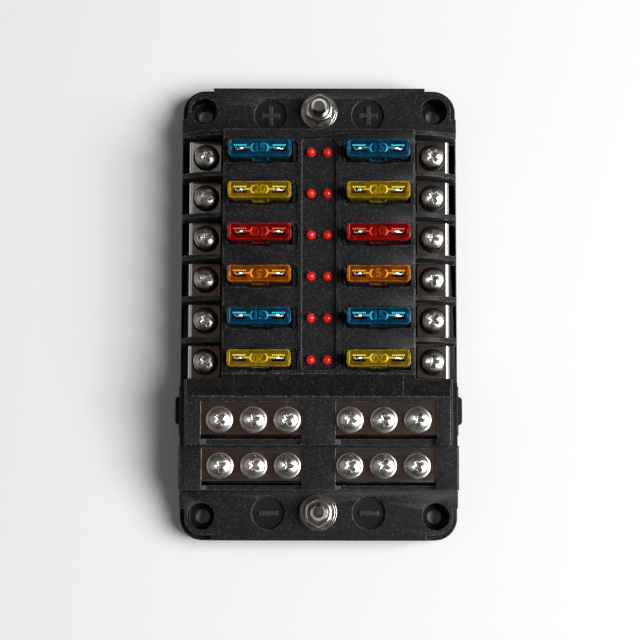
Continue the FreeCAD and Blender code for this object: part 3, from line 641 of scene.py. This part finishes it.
def power_stud(node, name):
    """The stud of one pole: hexagon head below, core, thread and pointed end."""
    low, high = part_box(node)
    core = stud_radius - thread_depth
    outline = [(0, low.z), (core, low.z)] + [(r, high.z - drop) for r, drop in stud_end] + [(0, high.z)]
    bolt = turned(name + "_core", outline)
    middle = (low + high) / 2
    bolt.data.transform(Matrix.Translation((0, middle.y, 0)))
    length = thread_turns * thread_pitch
    helix = grown(name + "_helix", thread,
                  {"Radius": core, "Pitch": thread_pitch, "Length": length, "Depth": thread_depth,
                   "Foot": (0.0, middle.y, high.z - stud_end[0][1] - length)}, stud_steel)
    reach, top, chamfer = stud_head
    outline = [(0, low.z), (reach - chamfer, low.z), (reach, low.z + chamfer), (reach, low.z + top),
               (0, low.z + top)]
    head = turned(name + "_head", outline, 6)
    head.data.transform(Matrix.Translation((0, middle.y, 0)))
    whole = merged(name, [bolt, helix, head])
    dress(whole, "block", "stud_steel", stud_steel, node)


def soften(piece, radius):
    """Rounds the sharp edges of a piece."""
    rounding = piece.modifiers.new("rounding", "BEVEL")
    rounding.width = radius
    rounding.segments = 2
    rounding.limit_method = "ANGLE"
    rounding.angle_limit = crease_angle
    made_plain(piece)
    smooth(piece.data, soft_angle)
    return piece


def hexagon_nut(node, name):
    """A nut with its corners chamfered at 30 degrees and its bore countersunk, both ends alike."""
    low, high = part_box(node)
    middle, height, bore, steps = (low + high) / 2, high.z - low.z, stud_radius + bore_gap, 48
    work = bmesh.new()
    rings = [[] for _ in range(8)]
    for k in range(steps):
        angle = 2 * math.pi * k / steps
        reach = nut_across / 2 / math.cos(angle % (math.pi / 3) - math.pi / 6)
        drop = max(0.0, reach - nut_flat_radius) * math.tan(nut_chamfer)
        outline = ((bore, nut_sink), (bore + nut_sink, 0), (nut_flat_radius, 0), (reach, drop),
                   (reach, height - drop), (nut_flat_radius, height), (bore + nut_sink, height),
                   (bore, height - nut_sink))
        turn = angle + nut_turns[node]
        for ring, (radius, z) in zip(rings, outline):
            x, y = radius * math.cos(turn), middle.y + radius * math.sin(turn)
            ring.append(work.verts.new((x, y, low.z + z)))
    for lower, upper in zip(rings, rings[1:] + rings[:1]):
        for k in range(steps):
            n = (k + 1) % steps
            work.faces.new((lower[k], lower[n], upper[n], upper[k]))
    return soften(formed(name, work), nut_edge)


power_stud("positive_stud", "positive_stud_bolt")
power_stud("negative_stud", "negative_stud_bolt")
for node, name in (("positive_nut", "positive_hexagon_nut"), ("negative_nut", "negative_hexagon_nut")):
    dress(hexagon_nut(node, name), node, "stud_steel", stud_steel, node)
washers = made_plain(clean_copy("stud_washers", "stud_washer_stacks", washer_edge))
dress(washers, "block", "stud_steel", stud_steel, "stud_washers")


# Screws. Twenty-four nickel-plated pan-head screws with a cross recess, painted near black inside as shade.
# Each carries its own spring washer and flat washer, given a darker finish on the terminal screws, and
# no two stand at the same angle.
screw_head_radius = 3.4 * mm
screw_head_height = 2.4 * mm
head_side_height = 1.15 * mm
head_corner = 0.5 * mm
screw_shank_radius = 1.95 * mm
flat_washer_radius = 4.05 * mm
flat_washer_thickness = 0.8 * mm
spring_washer_radius = 3.55 * mm
spring_washer_thickness = 1.0 * mm
recess_reach = (2.3 * mm, 1.5 * mm)
recess_half_width = (0.64 * mm, 0.5 * mm)
recess_depth = 1.75 * mm
recess_point = 0.3 * mm
recess_skin = 0.1 * mm
mouth_taper = (1.06, 1.04)
mouth_rise = 0.2 * mm
head_foot = 0.12 * mm
head_edge = 0.06 * mm
dome_slope = math.radians(29)
dome_bend = 14 * mm
spring_edge = 0.06 * mm
spring_gap = math.radians(9)
spring_lift = 0.12 * mm
spring_play = 0.15 * mm
flat_play = 0.1 * mm
flat_edge = 0.16 * mm
nickel_grey = (0.45, 0.44, 0.42, 1.0)
nickel_white = (0.7, 0.68, 0.65, 1.0)
# near-black colours painted in the cross recess as shade
recess_shade_dark = (0.004, 0.004, 0.004, 1.0)
recess_shade_light = (0.03, 0.028, 0.025, 1.0)
# washer colours, darker, given to the washers of the terminal screws
washer_dark = (0.03, 0.028, 0.026, 1.0)
washer_light = (0.12, 0.11, 0.105, 1.0)

screw_nickel = turned_metal("screw_nickel", nickel_grey, nickel_white, rough=0.26, scratch=fine_scratch)
recess_metal = turned_metal("recess_metal", recess_shade_dark, recess_shade_light, rough=0.45, scratch=0.003 * mm)
washer_steel = turned_metal("washer_steel", washer_dark, washer_light, rough=0.3, scratch=fine_scratch)


def cross_cutter(top):
    """The cross recess as a solid: a tapered cross from just over the head, with a conical bottom."""
    work = bmesh.new()
    loops = []
    mouth = (recess_reach[0] * mouth_taper[0], recess_half_width[0] * mouth_taper[1], top + mouth_rise)
    floor = (recess_reach[1], recess_half_width[1], top - recess_depth)
    for reach, half, z in (mouth, floor):
        corners = []
        for quarter in range(4):
            a, b = math.cos(quarter * math.pi / 2), math.sin(quarter * math.pi / 2)
            for x, y in ((reach, -half), (reach, half), (half, half)):
                corners.append(work.verts.new((a * x - b * y, b * x + a * y, z)))
        loops.append(corners)
    point = work.verts.new((0, 0, top - recess_depth - recess_point))
    work.faces.new(loops[0])
    for k in range(12):
        n = (k + 1) % 12
        work.faces.new((loops[0][k], loops[0][n], loops[1][n], loops[1][k]))
        work.faces.new((loops[1][k], loops[1][n], point))
    return formed("cross_cutter", work)


def cut(piece, cutter):
    """Takes one closed form out of another, and removes the first."""
    knife = piece.modifiers.new("knife", "BOOLEAN")
    knife.operation = "DIFFERENCE"
    knife.solver = "EXACT"
    knife.object = cutter
    made_plain(piece)
    bpy.data.objects.remove(cutter)
    return piece


def pan_head():
    """The head of a screw, seat at height 0: straight side, small corner, shallow dome, cross recess."""
    r, side, corner = screw_head_radius, head_side_height, head_corner
    outline = [(0, 0), (r - head_foot, 0), (r, head_foot)]
    for degrees in (0, 12, 24, 36, 48, 61):
        a = math.radians(degrees)
        outline.append((r - corner + corner * math.cos(a), side + corner * math.sin(a)))
    shoulder_radius, shoulder_height = outline[-1]
    dome_radius = shoulder_radius / math.sin(dome_slope)
    middle = shoulder_height - dome_radius * math.cos(dome_slope)
    for degrees in (24, 19, 14, 9, 4):
        a = math.radians(degrees)
        outline.append((dome_radius * math.sin(a), middle + dome_radius * math.cos(a)))
    top = middle + dome_radius
    head = turned("pan_head", outline + [(0, top)], 48)
    return soften(cut(head, cross_cutter(top)), head_edge)


def split_ring():
    """A spring washer: a coil of square wire, cut once, its ends a little apart."""
    outer, inner = spring_washer_radius, screw_shank_radius + spring_play
    low, high = spring_edge, spring_washer_thickness - spring_edge
    work = bmesh.new()
    steps = 44
    sections = []
    for k in range(steps + 1):
        angle = spring_gap / 2 + (2 * math.pi - spring_gap) * k / steps
        lift = spring_lift * (k / steps - 0.5)
        corners = []
        for radius, height in ((inner, low), (outer, low), (outer, high), (inner, high)):
            x, y = radius * math.cos(angle), radius * math.sin(angle)
            corners.append(work.verts.new((x, y, height + lift)))
        sections.append(corners)
    for one, two in zip(sections, sections[1:]):
        for k in range(4):
            work.faces.new((one[k], one[(k + 1) % 4], two[(k + 1) % 4], two[k]))
    work.faces.new(sections[0])
    work.faces.new(list(reversed(sections[-1])))
    ring = formed("split_ring", work)
    smooth(ring.data, crease_angle)
    return ring


def flat_ring(outer, inner, thickness):
    """A stamped flat washer, its edges rolled over."""
    soft = flat_edge
    outline = [(inner, 0), (outer - soft, 0), (outer, soft), (outer, thickness - soft),
               (outer - 0.3 * soft, thickness - 0.3 * soft), (outer - soft, thickness), (inner, thickness)]
    return turned("flat_ring", outline, 48)


def upright(tree, source, flat=0.0):
    """A vector with a socket's value as Z and a plain value as X and Y."""
    made = tree.nodes.new("ShaderNodeCombineXYZ")
    made.inputs["X"].default_value = flat
    made.inputs["Y"].default_value = flat
    tree.links.new(source, made.inputs["Z"])
    return made.outputs[0]


head_master = pan_head()
spring_master = split_ring()
flat_master = flat_ring(flat_washer_radius, screw_shank_radius + flat_play, flat_washer_thickness)
# the shank has a length of 1, which the tree scales to the screw's own
shank_core = screw_shank_radius - thread_depth
shank_master = turned("shank_master", [(0, -1.0), (shank_core, -1.0), (shank_core, 0), (0, 0)], 24)

screw_stack, inlet, outlet = node_tree(
    "screw_stack", {"Head": head_master, "Spring washer": spring_master, "Flat washer": flat_master,
                    "Shank": shank_master, "Seat": (0.0, 0.0, 0.0), "Head turn": 0.0, "Spring turn": 0.0,
                    "Flat thickness": 0.0, "Stack": 0.0, "Length": 0.0})
link = screw_stack.links.new
gather = screw_stack.nodes.new("GeometryNodeJoinGeometry")
for part, height, turn in (("Head", "Stack", "Head turn"), ("Spring washer", "Flat thickness", "Spring turn"),
                           ("Flat washer", None, None), ("Shank", "Stack", None)):
    info = screw_stack.nodes.new("GeometryNodeObjectInfo")
    place = screw_stack.nodes.new("GeometryNodeTransform")
    link(inlet.outputs[part], info.inputs["Object"])
    link(info.outputs["Geometry"], place.inputs["Geometry"])
    if height:
        link(upright(screw_stack, inlet.outputs[height]), place.inputs["Translation"])
    if turn:
        link(upright(screw_stack, inlet.outputs[turn]), place.inputs["Rotation"])
    if part == "Shank":
        link(upright(screw_stack, inlet.outputs["Length"], 1.0), place.inputs["Scale"])
    link(place.outputs[0], gather.inputs[0])
settle = screw_stack.nodes.new("GeometryNodeTransform")
link(gather.outputs[0], settle.inputs["Geometry"])
link(inlet.outputs["Seat"], settle.inputs["Translation"])
closing(screw_stack, settle.outputs[0], outlet)

terminal_turns = (20, 62, 5, 78, 35, 50, 40, 28, 70, 12, 55, 84)
bus_turns = (48, 8, 30, 66, 20, 75, 15, 52, 80, 38, 60, 25)
for kind, angles in (("terminal_screw_", terminal_turns), ("bus_screw_", bus_turns)):
    for number, angle in enumerate(angles, 1):
        node = "%s%02d" % (kind, number)
        low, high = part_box(node)
        middle = (low + high) / 2
        stack = flat_washer_thickness + spring_washer_thickness
        seat = high.z - screw_head_height - stack
        screw = grown("%spiece_%02d" % (kind, number), screw_stack,
                      {"Head": head_master, "Spring washer": spring_master, "Flat washer": flat_master,
                       "Shank": shank_master, "Seat": (middle.x, middle.y, seat),
                       "Head turn": math.radians(angle), "Spring turn": math.radians(angle * 7),
                       "Flat thickness": flat_washer_thickness, "Stack": stack,
                       "Length": high.z - screw_head_height - low.z}, screw_nickel)
        for finish in (recess_metal, washer_steel):
            screw.data.materials.append(finish)
        # faces inside the cross recess take the near-black painted shade
        for face in screw.data.polygons:
            out = math.hypot(face.center.x - middle.x, face.center.y - middle.y)
            deep = high.z - face.center.z
            below_dome = deep > out * out / dome_bend + recess_skin
            if out < recess_reach[0] and below_dome and deep < recess_depth + recess_point:
                face.material_index = 1
            elif kind == "terminal_screw_" and face.center.z < seat + stack:
                face.material_index = 2
        dress(screw, node, "screw_nickel", screw_nickel, node)
for master in (head_master, spring_master, flat_master, shank_master):
    bpy.data.objects.remove(master)


# Blade fuses. Each is a hollow shell of clear tinted plastic, dark where one looks down into it. Where its
# edges
# pipe the light the brightness is painted: the rims take a brighter tint, and the combs, pad arcs, links,
# rating and small blocks at the ends, corners and bracket take painted highlight colours. The crown has two
# test windows with a comb at the back, a pad with the rating and grip teeth on both long sides; the skirt has
# end posts and a bracket.
# the deep, body, wall and painted highlight colour of each tint; the wall colour is brighter in part as
# painted piped light
fuse_tints = {
    "blue": ((0.0, 0.04, 0.09, 1.0), (0.002, 0.085, 0.17, 1.0),
             (0.002, 0.17, 0.36, 1.0), (0.05, 0.8, 1.0, 1.0)),
    "yellow": ((0.22, 0.14, 0.003, 1.0), (0.42, 0.27, 0.006, 1.0),
               (0.72, 0.42, 0.004, 1.0), (1.0, 0.92, 0.1, 1.0)),
    "red": ((0.2, 0.002, 0.002, 1.0), (0.42, 0.006, 0.005, 1.0),
            (0.66, 0.012, 0.01, 1.0), (1.0, 0.13, 0.06, 1.0)),
    "orange": ((0.26, 0.05, 0.001, 1.0), (0.5, 0.11, 0.003, 1.0),
               (0.78, 0.24, 0.006, 1.0), (1.0, 0.56, 0.06, 1.0)),
}
fuse_rows = (("blue", "15"), ("yellow", "20"), ("red", "10"),
             ("orange", "5"), ("blue", "15"), ("yellow", "20"))
fuse_count = 12
read_from_behind = (3, 4, 6, 12)
crown_height = 5.2 * mm
crown_corner = 0.9 * mm
crown_wall = 0.32 * mm
end_wall = 0.95 * mm
panel_drop = 0.2 * mm
panel_thickness = 0.7 * mm
tooth_pitch = 0.74 * mm
tooth_depth = 0.16 * mm
tooth_reach = 2.6 * mm
window_x = 5.85 * mm
window_length = 4.05 * mm
window_half_width = 1.1 * mm
comb_teeth = 7
comb_tooth = (0.4 * mm, 0.5 * mm, 0.5 * mm)
comb_y = 0.8 * mm
link_width = 0.5 * mm
link_start = 2.5 * mm
link_end = 4.7 * mm
pad_reach = 2.85 * mm
pad_radius = 1.45 * mm
pad_arc_width = 0.6 * mm
digit_height = 3.7 * mm
digit_line = 0.045 * mm
skirt_width = 16.6 * mm
skirt_thickness = 3.8 * mm
post_size = (0.9 * mm, 4.3 * mm)
bracket_width = 5.3 * mm
bracket_thickness = 4.7 * mm
tip_x = 5.5 * mm
tip_size = (1.4 * mm, 0.5 * mm)
tip_slope = math.radians(16)
tip_reach = (-0.3 * mm, 0.9 * mm)
tip_y = 0.1 * mm
tip_edge = 0.05 * mm
strip_edge = 0.08 * mm
rim_edge = 0.1 * mm
rim_hollow_corner = 0.3 * mm
post_foot = 0.3 * mm
bracket_foot = 0.2 * mm
bracket_top = 0.7 * mm
skirt_wall = 0.5 * mm
ledge_lap = 0.6 * mm
ledge_height = 0.4 * mm
# placing of the painted highlight blocks: their offset across the fuse and their drop below its top
highlight_y = 0.05 * mm
highlight_drop = 0.01 * mm
small_edge = 0.06 * mm
seam = 0.02 * mm
# sizes of the painted highlight blocks at the fuse's ends, corners and bracket ends
end_highlight = (0.35 * mm, 1.3 * mm)
corner_highlight = (0.7 * mm, 0.3 * mm)
bracket_highlight = (0.7 * mm, 0.6 * mm)
zinc_dark = (0.68, 0.68, 0.68, 1.0)
zinc_light = (0.9, 0.9, 0.9, 1.0)


def clear_tint(name, deep, bright, clear, rough, scale=420.0):
    """Clear tinted plastic: part of the light goes through and part is caught by the tint."""
    made, nodes, links, shader = new_material(name)
    clouds = object_noise(nodes, links, scale, 2.0)
    links.new(ramp(nodes, links, clouds, [(0.35, deep), (0.7, bright)]), shader.inputs["Base Color"])
    shader.inputs["Roughness"].default_value = rough
    shader.inputs["IOR"].default_value = 1.5
    shader.inputs["Transmission Weight"].default_value = clear
    return made


def prism(work, outline, low, high, inner=None):
    """Adds an upright prism on an outline; with an inner outline of as many points it is a tube."""
    count = len(outline)
    loops = [[work.verts.new((x, y, z)) for x, y in outline] for z in (low, high)]
    if inner is None:
        work.faces.new(list(reversed(loops[0])))
        work.faces.new(loops[1])
    else:
        loops += [[work.verts.new((x, y, z)) for x, y in inner] for z in (high, low)]
        loops.append(loops[0])
    for one, two in zip(loops, loops[1:]):
        for k in range(count):
            n = (k + 1) % count
            work.faces.new((one[k], one[n], two[n], two[k]))


def block(work, middle, size, low, high):
    """Adds a plain upright block."""
    (x, y), (a, b) = middle, (size[0] / 2, size[1] / 2)
    prism(work, [(x - a, y - b), (x + a, y - b), (x + a, y + b), (x - a, y + b)], low, high)


def rounded_outline(length, width, corner, steps=4):
    """A rectangle with round corners, counter-clockwise from its right side; one step cuts them off."""
    points = []
    for quarter, (sx, sy) in enumerate(((1, 1), (-1, 1), (-1, -1), (1, -1))):
        for k in range(steps + 1):
            a = math.pi / 2 * (quarter + k / steps)
            points.append((sx * (length / 2 - corner) + corner * math.cos(a),
                           sy * (width / 2 - corner) + corner * math.sin(a)))
    return points


def rim_outline(length, width, corner, depth):
    """A rectangle with its corners cut off and grip teeth of the given depth on its long sides."""
    corners = rounded_outline(length, width, corner, 1)
    half = len(corners) // 4
    teeth = int(2 * tooth_reach / tooth_pitch)
    side = [(-tooth_reach + (k + 0.5) * tooth_pitch / 2, depth * (k % 2)) for k in range(2 * teeth)]
    back = [(-x, width / 2 - drop) for x, drop in side]
    front = [(x, drop - width / 2) for x, drop in side]
    return corners[:half] + back + corners[half:3 * half] + front + corners[3 * half:]


def pierced_plate(work, xs, ys, holes, low, high):
    """Adds a plate of cells between the given lines, leaving out the cells in holes."""
    cells = [(i, j) for i in range(len(xs) - 1) for j in range(len(ys) - 1) if (i, j) not in holes]
    corners = {}
    for z in (low, high):
        for i, x in enumerate(xs):
            for j, y in enumerate(ys):
                corners[i, j, z] = work.verts.new((x, y, z))
    for i, j in cells:
        work.faces.new([corners[a, b, high] for a, b in ((i, j), (i + 1, j), (i + 1, j + 1), (i, j + 1))])
        work.faces.new([corners[a, b, low] for a, b in ((i, j), (i, j + 1), (i + 1, j + 1), (i + 1, j))])
        edges = (((0, 0), (1, 0), (0, -1)), ((1, 0), (1, 1), (1, 0)), ((1, 1), (0, 1), (0, 1)),
                 ((0, 1), (0, 0), (-1, 0)))
        for (a, b), (c, d), (e, f) in edges:
            if (i + e, j + f) not in cells:
                work.faces.new((corners[i + a, j + b, low], corners[i + c, j + d, low],
                                corners[i + c, j + d, high], corners[i + a, j + b, high]))


def solid(name, build):
    """An object from a function that fills a bmesh."""
    work = bmesh.new()
    build(work)
    return formed(name, work)


def fuse_walls(length, width, height):
    """The walls of one fuse and the small blocks carrying its painted highlights, foot at height 0, each as a
    piece.
    """
    crown_z = height - crown_height
    panel_z = height - panel_drop

    def rim(work):
        outer = rim_outline(length, width, crown_corner, tooth_depth)
        inner = rim_outline(length - 2 * end_wall, width - 2 * crown_wall, rim_hollow_corner, 0)
        prism(work, outer, crown_z, height, inner)
        for side in (-1, 1):
            post_x = side * (skirt_width / 2 - post_size[0] / 2)
            block(work, (post_x, 0), post_size, post_foot, crown_z - seam)
        block(work, (0, 0), (bracket_width, bracket_thickness), bracket_foot, bracket_top)

    def combs(work):
        for side in (-1, 1):
            for k in range(comb_teeth):
                x = side * window_x + (k - (comb_teeth - 1) / 2) * window_length / comb_teeth
                block(work, (x, comb_y), comb_tooth[:2], panel_z - comb_tooth[2], panel_z - 0.05 * mm)

    # small blocks in the painted highlight colours, where the link, stubs, ends, pad arcs, corners and
    # bracket would pipe the light
    def bright_edges(work):
        foot = panel_z - panel_thickness
        top = height - highlight_drop
        for side in (-1, 1):
            link_x = side * (link_start + link_end) / 2
            block(work, (link_x, highlight_y), (link_end - link_start, link_width), foot, height - 0.08 * mm)
            stub_x = side * (window_x + 1.35 * mm)
            block(work, (stub_x, highlight_y), (0.5 * mm, link_width), foot, panel_z - 0.1 * mm)
            end_x = side * (length / 2 - 0.8 * mm)
            block(work, (end_x, 0), end_highlight, height - 1.0 * mm, top)
            arc = []
            for middle, turns in ((pad_reach - pad_radius, range(-60, 61, 15)),
                                  (pad_reach - pad_radius - pad_arc_width, range(60, -61, -15))):
                for degrees in turns:
                    a = math.radians(degrees)
                    arc.append((side * (middle + pad_radius * math.cos(a)), side * pad_radius * math.sin(a)))
            prism(work, arc, panel_z - 0.3 * mm, height - 0.03 * mm)
            for way in (-1, 1):
                corner = (side * (length / 2 - 0.75 * mm), way * (width / 2 - 0.36 * mm))
                block(work, corner, corner_highlight, height - 0.8 * mm, top)
                corner = (side * (bracket_width / 2 - 0.35 * mm), way * (bracket_thickness / 2 - 0.3 * mm))
                block(work, corner, bracket_highlight, bracket_top, crown_z - seam)

    return [soften(solid("rim", rim), rim_edge), soften(solid("combs", combs), small_edge),
            soften(solid("bright_edges", bright_edges), small_edge)]


def fuse_shell(name, length, width, height):
    """The clear parts of one fuse: the pierced top, the ledge under the crown, and the skirt."""
    crown_z = height - crown_height
    x, y = length / 2 - 0.3 * mm, width / 2 - crown_wall * 0.6
    near_x, far_x = window_x - window_length / 2, window_x + window_length / 2

    def shell(work):
        xs = [-x, -far_x, -near_x, near_x, far_x, x]
        ys = [-y, -window_half_width, window_half_width, y]
        top = height - panel_drop
        pierced_plate(work, xs, ys, ((1, 1), (3, 1)), top - panel_thickness, top)
        skirt = rounded_outline(skirt_width, skirt_thickness, 0.4 * mm)
        hollow = rounded_outline(skirt_width - 2 * skirt_wall, skirt_thickness - 2 * skirt_wall, 0.2 * mm)
        prism(work, skirt, 0, crown_z - 0.03 * mm, hollow)
        ledge = rounded_outline(length - 0.3 * mm, width - 0.3 * mm, crown_corner, 1)
        opening = rounded_outline(skirt_width - 2 * ledge_lap, skirt_thickness - 2 * ledge_lap, 0.2 * mm, 1)
        prism(work, ledge, crown_z, crown_z + ledge_height, opening)

    return solid(name, shell)


def rating(text, height, turned_round):
    """The rating as raised outlines of its digits."""
    curve = bpy.data.curves.new("rating", "FONT")
    curve.body = text
    curve.size = digit_height
    curve.fill_mode = "NONE"
    curve.bevel_depth = digit_line
    curve.bevel_resolution = 1
    curve.resolution_u = 4
    curve.align_x = "CENTER"
    curve.align_y = "CENTER"
    letters = new_object("rating", curve)
    mesh = bpy.data.meshes.new_from_object(letters.evaluated_get(bpy.context.evaluated_depsgraph_get()))
    bpy.data.objects.remove(letters)
    turn = Matrix.Rotation(math.pi if turned_round else 0.0, 4, "Z")
    mesh.transform(Matrix.Translation((0, 0, height)) @ turn)
    for face in mesh.polygons:
        face.use_smooth = True
    return new_object("rating", mesh)


fuse_low, fuse_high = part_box("fuse_body_01")
fuse_length, fuse_width, fuse_height = fuse_high - fuse_low
shells, walls, edges, arc_highlights = {}, {}, {}, {}
for tint, (deep, body_tint, wall_tint, highlight_tint) in fuse_tints.items():
    shells[tint] = clear_tint("fuse_shell_" + tint, deep, body_tint, clear=0.6, rough=0.12)
    walls[tint] = clear_tint("fuse_wall_" + tint, deep, wall_tint, clear=0.3, rough=0.1, scale=1500.0)
    # painted highlight colours: full for the combs, and halfway from the wall tint for the arcs, links and
    # rating
    edges[tint] = clear_tint("fuse_edge_" + tint, highlight_tint, highlight_tint, clear=0.0, rough=0.2)
    half_highlight_tint = tuple((one + two) / 2 for one, two in zip(wall_tint, highlight_tint))
    arc_highlights[tint] = clear_tint("fuse_arc_" + tint, wall_tint, half_highlight_tint, clear=0.0, rough=0.15)
for number in range(1, fuse_count + 1):
    tint, digits = fuse_rows[(number - 1) % len(fuse_rows)]
    low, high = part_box("fuse_body_%02d" % number)
    place = Matrix.Translation(((low.x + high.x) / 2, (low.y + high.y) / 2, low.z))
    shell = fuse_shell("fuse_shell_%02d" % number, fuse_length, fuse_width, fuse_height)
    shell.data.transform(place)
    dress(shell, "fuse_%02d" % number, "fuse_" + tint, shells[tint], "fuse_body_%02d" % number)
    parts = fuse_walls(fuse_length, fuse_width, fuse_height)
    parts.append(rating(digits, fuse_height - panel_drop, number in read_from_behind))
    # the rim takes the wall's tint, the combs the painted highlight colour, the highlight blocks and the
    # rating the arcs' half-bright painted highlight
    wall = merged("fuse_wall_%02d" % number, parts, (0, 1, 2, 2), (walls[tint], edges[tint], arc_highlights[tint]))
    wall.data.transform(place)
    dress(wall, "fuse_%02d" % number, "fuse_" + tint, None)

fuse_zinc = turned_metal("fuse_zinc", zinc_dark, zinc_light, rough=0.24, scratch=0.005 * mm)
for number in range(1, fuse_count + 1):
    node = "fuse_element_%02d" % number
    element = made_plain(clean_copy(node, "fuse_strip_%02d" % number, strip_edge))
    low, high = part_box(node)
    middle = (low + high) / 2

    def tips(work):
        for side in (-1, 1):
            foot = (middle.x + side * tip_x, middle.y + tip_y)
            block(work, foot, tip_size, high.z + tip_reach[0], high.z + tip_reach[1])
        for corner in work.verts:
            if corner.co.z > high.z:
                offset = corner.co.x - middle.x
                offset -= math.copysign(tip_x, offset)
                corner.co.z -= offset * math.tan(tip_slope)

    element = merged("fuse_strip_%02d" % number, [element, soften(solid("tips", tips), tip_edge)])
    dress(element, "fuse_%02d" % number, "fuse_zinc", fuse_zinc, node)
